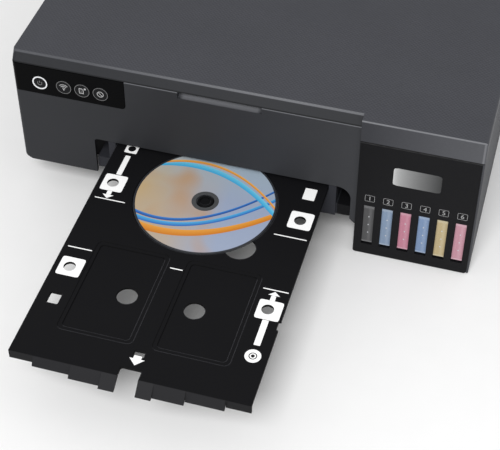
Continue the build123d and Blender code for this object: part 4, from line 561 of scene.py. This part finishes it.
def panel_signs(pale, dim):
    """A hairline ring round each button but the first, which has a lit ring of its own, and a plain
    sign on each: power, wireless arcs, a sheet, stop."""
    def on_button(name):
        """Lays points on a button, measured from its centre."""
        return on_face(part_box(name)[0].y, LEFT + BUTTONS[name] * MM, BUTTON_Z)

    for name, offset in BUTTONS.items():
        if name != "power_button":
            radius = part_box(name)[1].x - (LEFT + offset * MM) - RING_INSET
            outer, inner = round_outline(0, 0, radius), round_outline(0, 0, radius - RING_LINE)
            thin_piece(name + "_ring", outer, inner, on_button(name), dim, name)

    body = "power_button"
    lay = on_button(body)
    stroke("power_sign_arc", arc(0, 0, 1.9 * MM, 130, 410), SIGN_LINE, lay, dim, body)
    stroke("power_sign_bar", [(0, 0.5 * MM), (0, 2.6 * MM)], SIGN_LINE, lay, dim, body)

    body = "wireless_button"
    lay = on_button(body)
    for index in range(3):
        wave = arc(0, -2.4 * MM, (1.9 + 1.7 * index) * MM, 48, 132)
        stroke(f"wireless_sign_{index + 1}", wave, WAVE_LINE, lay, pale, body)
    dot = round_outline(0, -2.3 * MM, 0.7 * MM, 20)
    thin_piece("wireless_sign_dot", dot, None, lay, pale, body)

    body = "status_button"
    lay = on_button(body)
    outer, middle = traced_outline(np.array(SHEET) * MM), np.array(SHEET_MIDDLE) * MM
    inner = middle + (outer - middle) * SHEET_INSIDE
    thin_piece("sheet_sign", outer, inner, lay, pale, body)
    for index, (height, end) in enumerate(SHEET_ROWS):
        row = [(-1.5 * MM, height * MM), (end * MM, height * MM)]
        stroke(f"sheet_sign_line_{index + 1}", row, SHEET_LINE, lay, dim, body)
    dot = round_outline(2.9 * MM, 2.4 * MM, 1.0 * MM, 16)
    thin_piece("sheet_sign_dot", dot, None, lay, pale, body)

    body = "cancel_button"
    lay = on_button(body)
    outer, inner = round_outline(0, 0, 3.0 * MM), round_outline(0, 0, 2.4 * MM)
    thin_piece("stop_sign_ring", outer, inner, lay, pale, body)
    bar = [(-1.9 * MM, 1.9 * MM), (1.9 * MM, -1.9 * MM)]
    stroke("stop_sign_bar", bar, STOP_LINE, lay, pale, body)


# ---------------------------------------------------------------- tray: printed marks
# All in millimetres, with places from the case's left side and its front plane.
SQUARE_SIDE, SQUARE_CORNER, HOLE_RADIUS = 19.5, 1.6, 4.95
SQUARES = {                              # centre of each square, and of its registration hole
    "square_left_rear": ((102.8, -43.6), (101.9, -43.5)),
    "square_left_front": ((102.8, -142.7), (101.9, -142.7)),
    "square_right_rear": ((265.1, -43.5), (264.5, -43.5)),
    "square_right_front": ((265.8, -143.2), (264.5, -142.7)),
}
BARS = {                                 # centre, width and length
    "bar_left": (103.2, -20.9, 4.6, 24.4),
    "bar_right": (265.95, -166.2, 5.1, 25.6),
    "block_right": (264.7, -11.7, 10.2, 13.6),
}
SMALL_SQUARE = (103.4, 0.0, 11.0, 10.0)
SMALL_HOLE = (103.4, 0.6, 3.4)           # centre and radius
LINES = {                                # left end, right end, and place along the tray
    "line_1": (93.2, 119.8, -63.5), "line_2": (92.5, 112.9, -122.1),
    "line_3": (178.8, 189.2, -122.3), "line_4": (247.9, 275.3, -63.9),
    "line_5": (255.3, 275.8, -122.4),
}
LINE_WIDTH = 1.0
BAR_CORNER, SMALL_CORNER, LINE_CORNER = 0.3, 0.6, 0.2
ARROWS = {                               # middle, tip, head's width and foot, stem's width and end
    "arrow_left": (103.0, -62.3, 9.6, -58.1, 4.0, -53.2),
    "arrow_right": (265.5, -124.0, 9.5, -127.9, 4.0, -133.6),
    "arrow_notch": (184.2, -222.1, 12.0, -216.0, 6.2, -213.0),
}
TARGET = (266.0, -189.6)
TARGET_RADII = {"target_rim": (6.3, 3.3), "target_ring": (2.5, 1.5)}


def tray_marks(white):
    """The white marks: squares round the registration holes, arrows, bars and lines."""
    def place(x, y):
        """A point on the tray, in metres."""
        return LEFT + x * MM, FRONT + y * MM

    def block(x, y, width, length, corner):
        """A rectangle with round corners."""
        return box_outline(*place(x, y), width * MM, length * MM, corner * MM)

    def hole(x, y, radius):
        """A circle that starts at the same corner as a block does."""
        return round_outline(*place(x, y), radius * MM, 48, math.pi / 4)

    def mark(name, outer, inner=None):
        """Prints one mark on the tray's flat."""
        thin_piece("tray_" + name, outer, inner, on_level(TRAY_TOP), white, "disc_tray")

    for name, (centre, hole_centre) in SQUARES.items():
        outer = block(*centre, SQUARE_SIDE, SQUARE_SIDE, SQUARE_CORNER)
        mark(name, outer, hole(*hole_centre, HOLE_RADIUS))
    for name, bar in BARS.items():
        mark(name, block(*bar, BAR_CORNER))
    mark("square_small", block(*SMALL_SQUARE, SMALL_CORNER), hole(*SMALL_HOLE))
    for name, (left, right, y) in LINES.items():
        mark(name, block((left + right) / 2, y, right - left, LINE_WIDTH, LINE_CORNER))
    for name, (x, tip, head_width, head_y, stem_width, stem_y) in ARROWS.items():
        head, stem = head_width / 2, stem_width / 2
        corners = [(x - stem, stem_y), (x - stem, head_y), (x - head, head_y), (x, tip),
                   (x + head, head_y), (x + stem, head_y), (x + stem, stem_y)]
        if tip > stem_y:                 # it points the other way, and its top still has to face up
            corners.reverse()
        mark(name, traced_outline([place(*corner) for corner in corners]))
    for name, radii in TARGET_RADII.items():
        mark(name, *(round_outline(*place(*TARGET), radius * MM) for radius in radii))


# ---------------------------------------------------------------- disc: print and hub ring
COAT_RADII = (58.2 * MM, 11.4 * MM)
HUB_RING_RADII = (11.3 * MM, 7.7 * MM)


def disc_faces():
    """The printed coat and, inside it, the clear ring round the bore."""
    coat = disc_print("printed_disc_coat")
    clear = gloss_plastic("clear_polycarbonate", "4A4B4D", 0.2)
    for name, radii, count, finish in (("disc_coat", COAT_RADII, 160, coat),
                                       ("disc_hub_ring", HUB_RING_RADII, 96, clear)):
        outer, inner = (round_outline(DISC_CENTRE.x, DISC_CENTRE.y, radius, count)
                        for radius in radii)
        thin_piece(name, outer, inner, on_level(DISC_TOP), finish, "disc_tray")


# ---------------------------------------------------------------- studio
FLOOR_HALF = 6.0
FLOOR_DROP = 0.05 * MM                   # the feet don't share a plane with the floor
SURROUND_STRENGTH = 0.56
LAMPS = {                                # place, aim, side and power
    "beside_camera": ((0.1, -2.3, 2.6), (0.0, -0.05, 0.05), 1.3, 80),
    "right_side": ((2.6, 0.1, 1.0), (0.0, 0.0, 0.1), 1.2, 9),
}
CAMERA_AZIMUTH, CAMERA_ELEVATION = 16.01, 43.66
CAMERA_PLACE = (0.24025, -0.87075, 0.86766)
CAMERA_LENS, CAMERA_SENSOR, CAMERA_DROP = 98.72, 36, -0.1


def studio_floor():
    """White paper with a faint 25 mm cloud. The camera, gloss and clear plastic see it paler than
    it is to the light on the object, and it keeps the object's shadow."""
    material, tree, place = new_material("studio_paper")
    rays = add(tree, "LightPath").node.outputs
    seen = add(tree, "Math", {0: rays["Is Camera Ray"], 1: rays["Is Glossy Ray"]})
    seen = add(tree, "Math", {0: seen, 1: rays["Is Transmission Ray"]}, use_clamp=True)
    paper = add(tree, "Mix", {0: seen, 6: srgb("D2D2D2"), 7: srgb("F3F3F3")}, **COLOURS)
    fibre = add(tree, "TexNoise", {"Vector": place, "Scale": 1 / (25 * MM), "Detail": 2.0})
    surfaced(material, Base_Color=mottled(tree, paper, fibre, 0.995, 1.005), Roughness=0.9,
             Specular_IOR_Level=0.0)
    mesh = bpy.data.meshes.new("floor")
    corners = np.array([(-1, -1, 0), (1, -1, 0), (1, 1, 0), (-1, 1, 0)]) * FLOOR_HALF
    mesh.from_pydata(corners.tolist(), [], [(0, 1, 2, 3)])
    mesh.materials.append(material)
    floor = bpy.data.objects.new("floor", mesh)
    floor.location.z = -FLOOR_DROP
    bpy.context.scene.collection.objects.link(floor)


def studio_light():
    """An even white surround, a broad light near the camera, and a weak one from the right."""
    world = bpy.data.worlds.new("studio")
    bpy.context.scene.world = world
    world.use_nodes = True
    connect(world.node_tree, world.node_tree.nodes["Background"],
            {"Color": srgb("FFFFFF"), "Strength": SURROUND_STRENGTH})
    for name, (location, aim, side, power) in LAMPS.items():
        data = bpy.data.lights.new(name, "AREA")
        data.size = side
        data.energy = power
        made = bpy.data.objects.new(name, data)
        made.location = location
        x, y, z = np.array(aim) - np.array(location)
        made.rotation_euler = (math.atan2(math.hypot(x, y), -z), 0, math.atan2(x, -y) + math.pi)
        bpy.context.scene.collection.objects.link(made)


def camera():
    """The photograph's view, solved from the case's edges, the tray and the disc."""
    data = bpy.data.cameras.new("camera")
    data.sensor_width = CAMERA_SENSOR
    data.lens = CAMERA_LENS
    data.shift_y = CAMERA_DROP
    made = bpy.data.objects.new("camera", data)
    made.location = CAMERA_PLACE
    made.rotation_euler = (math.radians(90 - CAMERA_ELEVATION), 0, math.radians(CAMERA_AZIMUTH))
    bpy.context.scene.collection.objects.link(made)
    bpy.context.scene.camera = made
    bpy.context.scene.view_settings.view_transform = "Standard"


# ---------------------------------------------------------------- which node wears what
FACE_Y = (-INF, FRONT + 1.5 * MM)        # the case's front face
BAND_END = TANK_X - 0.2 * MM             # the lid's band stops here, at the side of the tank unit
BAND_Y = (-INF, FRONT + 5.0 * MM)        # the lid's upright band over the front
CREST_Y = (FRONT + 5.0 * MM, FRONT + 6.6 * MM)  # the band turns into the top over this depth
CREST_Z = (LID_TOP - 1.4 * MM, INF)
SKIRT_BACK = TANK_FRONT + 0.9 * MM       # the lid's deeper skirt over the tanks ends here
SKIRT_Y = (-INF, SKIRT_BACK)
SKIRT_TOP = LID_TOP - 1.0 * MM           # and turns into the top above this height
GUIDE_STEP = LEFT + 285.5 * MM           # the lower block of the right-hand guide starts here
# each empty part's colour also paints the foot's glint and the window's highlight streak
INKS = [("4A4A4B", "7C7C7E"), ("7E91AA", "A6B2C2"), ("BC7B8E", "CFA5B2"),
        ("778EB0", "A3B2C8"), ("B8A67E", "CCC3A8"), ("BD8B99", "D4B2BD")]  # full and empty parts


def case_plastic():
    """The case's ABS, with painted light on it: painted shade on its front face, paler there
    towards the tanks as painted light, painted highlights where the finger scoop and the edge under
    the lid catch the light, and painted shade in the slot."""
    # painted shade on the front face
    face = zone("2F3033", y=FACE_Y)
    # painted light: the front face paler towards the tanks
    lit_right_front = zone("3B3C3F", x=(TANK_X - 70 * MM, INF), y=FACE_Y, blend=60 * MM)
    # painted highlight on the finger scoop under the lid
    scoop = zone("646569", x=(PATH_X - 33 * MM, PATH_X + 33 * MM),
                 y=(FRONT + 0.4 * MM, FRONT + 9 * MM), z=(SEAM - 6.4 * MM, SEAM - 3.2 * MM),
                 blend=1.5 * MM)
    # painted highlight on the edge just under the lid's seam
    seam_highlight = zone("606165", x=(-INF, TANK_X), y=(FRONT - 1 * MM, FRONT + 1 * MM),
                     z=(SEAM - 0.8 * MM, INF))
    # painted shade on the slot's walls
    slot = zone("121214", x=(PATH_X - 130 * MM, TANK_X), y=(FRONT + 0.6 * MM, FRONT + 60 * MM),
                z=(-INF, 80 * MM))
    return moulded_plastic("case_abs", "3D3E42", grain=1.2, depth=0.02, stretch=(0.6, 1, 1.6),
                           zones=[face, lit_right_front, scoop, seam_highlight, slot])


def lid_plastic():
    """The lid's ABS: woven on top, smooth on its upright band and skirt, and darker on the band.
    Painted light on it: band, crest and skirt paler towards the right, painted highlights on the
    crests where they turn into the top and on the skirt's right edge, and painted shade where it
    closes on the case, at the skirt's foot and along the side of the tank unit."""
    band_x, tank_x = (-INF, BAND_END), (TANK_X, INF)
    band = zone("2C2D30", x=band_x, y=BAND_Y)
    # painted light: the band paler towards the tank unit
    lit_right_band = zone("2E2F32", x=(TANK_X - 110 * MM, BAND_END), y=BAND_Y, blend=100 * MM)
    # painted shade along the band's foot, where the lid closes on the case
    seam_shade = zone("18191B", x=band_x, y=BAND_Y, z=(-INF, SEAM + 1.3 * MM))
    # painted highlight along the crest where the band turns into the top
    crest = zone("515256", x=band_x, y=CREST_Y, z=CREST_Z)
    # painted highlight, stronger on the crest towards the tank unit
    right_crest_highlight = zone("737478", x=(TANK_X - 130 * MM, TANK_X), y=CREST_Y, z=CREST_Z,
                       blend=100 * MM)
    tank_top = zone("44454A", x=(BAND_END, INF), y=(SKIRT_BACK, FRONT + 12 * MM),
                    z=(LID_TOP - 3 * MM, INF))
    # painted shade along the side of the tank unit
    tank_side_shade = zone("1D1E20", x=(TANK_X - 0.3 * MM, TANK_X + 0.3 * MM),
                     y=(TANK_FRONT + 0.5 * MM, FRONT + 5 * MM), z=(-INF, SKIRT_TOP))
    # painted light: the skirt over the tanks paler, most towards the right
    skirt = zone("545559", x=(RIGHT - 50 * MM, INF), y=SKIRT_Y, z=(-INF, SKIRT_TOP),
                 blend=45 * MM)
    # painted highlight where the skirt turns into the top
    skirt_crest_highlight = zone("737478", x=tank_x, y=SKIRT_Y, z=(SKIRT_TOP, INF))
    # painted highlight along the skirt's right edge
    skirt_edge_highlight = zone("727377", x=(RIGHT - 2.6 * MM, RIGHT - 1 * MM), y=SKIRT_Y,
                      z=(-INF, SKIRT_TOP), blend=0.3 * MM)
    # painted shade at the skirt's foot, over the tank's front panel
    skirt_foot_shade = zone("060607", x=tank_x, y=SKIRT_Y, z=(-INF, tank_high.z + 1.2 * MM))
    zones = [band, lit_right_band, seam_shade, crest, right_crest_highlight, tank_top, tank_side_shade, skirt,
             skirt_crest_highlight, skirt_edge_highlight, skirt_foot_shade]
    return moulded_plastic("woven_lid_abs", "44454A", grain=2.0, depth=0.02,
                           stretch=(0.6, 1.5, 1.5), zones=zones, woven_from=LID_TOP - 0.1 * MM)


def dress():
    """Gives every node its finish."""
    # painted shade on the guide's lower block, deep in the slot
    low_block_shade = zone("131315", x=(GUIDE_STEP, INF))
    lip = zone("262628", y=(-INF, CREASE))
    finishes = {
        case_plastic(): ["upper_housing", "paper_support"],
        lid_plastic(): ["lid"],
        moulded_plastic("flank_abs", "46474B", grain=2.0, depth=0.03, stretch=(0.6, 1, 1),
                        specular=0.06, mottle=0.07): ["right_side_cover"],
        moulded_plastic("guide_abs", "303136", specular=0.1, zones=[low_block_shade]): ["tray_guides"],
        moulded_plastic("inner_abs", "1A1A1C", roughness=0.6, specular=0.1): [
            "base_pan", "output_tray", "output_extension", "power_inlet"],
        moulded_plastic("works_abs", "2B2C2F"): [
            "carriage", "platen", "star_wheel_rail", "capping_station", "feeder_frame",
            "edge_guide_left", "edge_guide_right", "power_supply", "pinch_rollers"],
        # the tray's relief gets a painted highlight on flanks facing the rear and left, and painted
        # shade on the others
        moulded_plastic("tray_abs", "131315", grain=0.8, depth=0.01, specular=0.08, mottle=0.04,
                        edge=0.8, zones=[lip], relief_highlight="4A4A4E"): ["disc_tray"],
        moulded_plastic("acetal", "D9D6CA", roughness=0.4, grain=2.0, depth=0.01, specular=0.3): [
            "feed_gear", "exit_gear", "idler_gear", "feed_pinion", "drive_pulley", "idler_pulley"],
        gloss_plastic("gloss_black_abs", "040405", 0.14, 0.04): ["control_panel"],
        gloss_plastic("satin_black_abs", "151517", 0.38, 0.09): ["tank_front_panel", *BUTTONS],
        gloss_plastic("light_guide", "F2F4F6", 0.3): ["power_ring"],
        gloss_plastic("disc_polycarbonate", "2E3034", 0.18): ["disc"],
        gloss_plastic("solder_mask", "1E5A35", 0.3): ["main_board"],
        brushed_steel("zinc_plated_sheet"): ["main_frame", "side_plates"],
        brushed_steel("ground_rod", "C9CBCE", 0.16, (1, 1, 1)): ["guide_shaft"],
        brushed_steel("motor_can", "8F9194", 0.4, (20, 1, 20)): [
            "carriage_motor", "feed_motor", "print_head"],
        soft_rubber("foot_rubber", "161616"): ["rubber_feet"],
        soft_rubber("cap_rubber", "2A2A2D", 0.9): [f"tank_cap_{i + 1}" for i in range(TANK_COUNT)],
        soft_rubber("belt_rubber", "1B1B1B"): ["timing_belt"],
        soft_rubber("tyre_rubber", "3A3A3C", 0.8, 0.05): ["exit_roller", "pickup_roller"],
        soft_rubber("grit_coat", "6A6A6B", 0.4, 0.05, 0.6): ["feed_roller"],
        clear_film("encoder_film", "D0D0C4", 0.45): ["encoder_strip"],
        clear_film("tube_elastomer", "8C8E92", 0.75): ["ink_tubes"],
        felted("felt", "CFCBBE"): ["waste_pad"],
    }
    for index, (ink, pale) in enumerate(INKS):
        finish = frosted_tank(f"frosted_tank_{index + 1}", ink, pale, window_x(index))
        finishes[finish] = [f"ink_tank_{index + 1}"]
    for finish, names in finishes.items():
        for name in names:
            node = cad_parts[name]
            node.data.materials.clear()
            node.data.materials.append(finish)


def main():
    camera()
    studio_floor()
    studio_light()
    dress()
    badge_plate()
    tank_labels(printed_ink("label_print", "A4A4A4"))
    level_dots(printed_ink("level_mark", "C8CACE"))
    panel_signs(printed_ink("sign_print", "B8B8B8"), printed_ink("grey_print", "7C7C7C"))
    tray_marks(printed_ink("white_print", "FFFFFF"))
    disc_faces()


main()
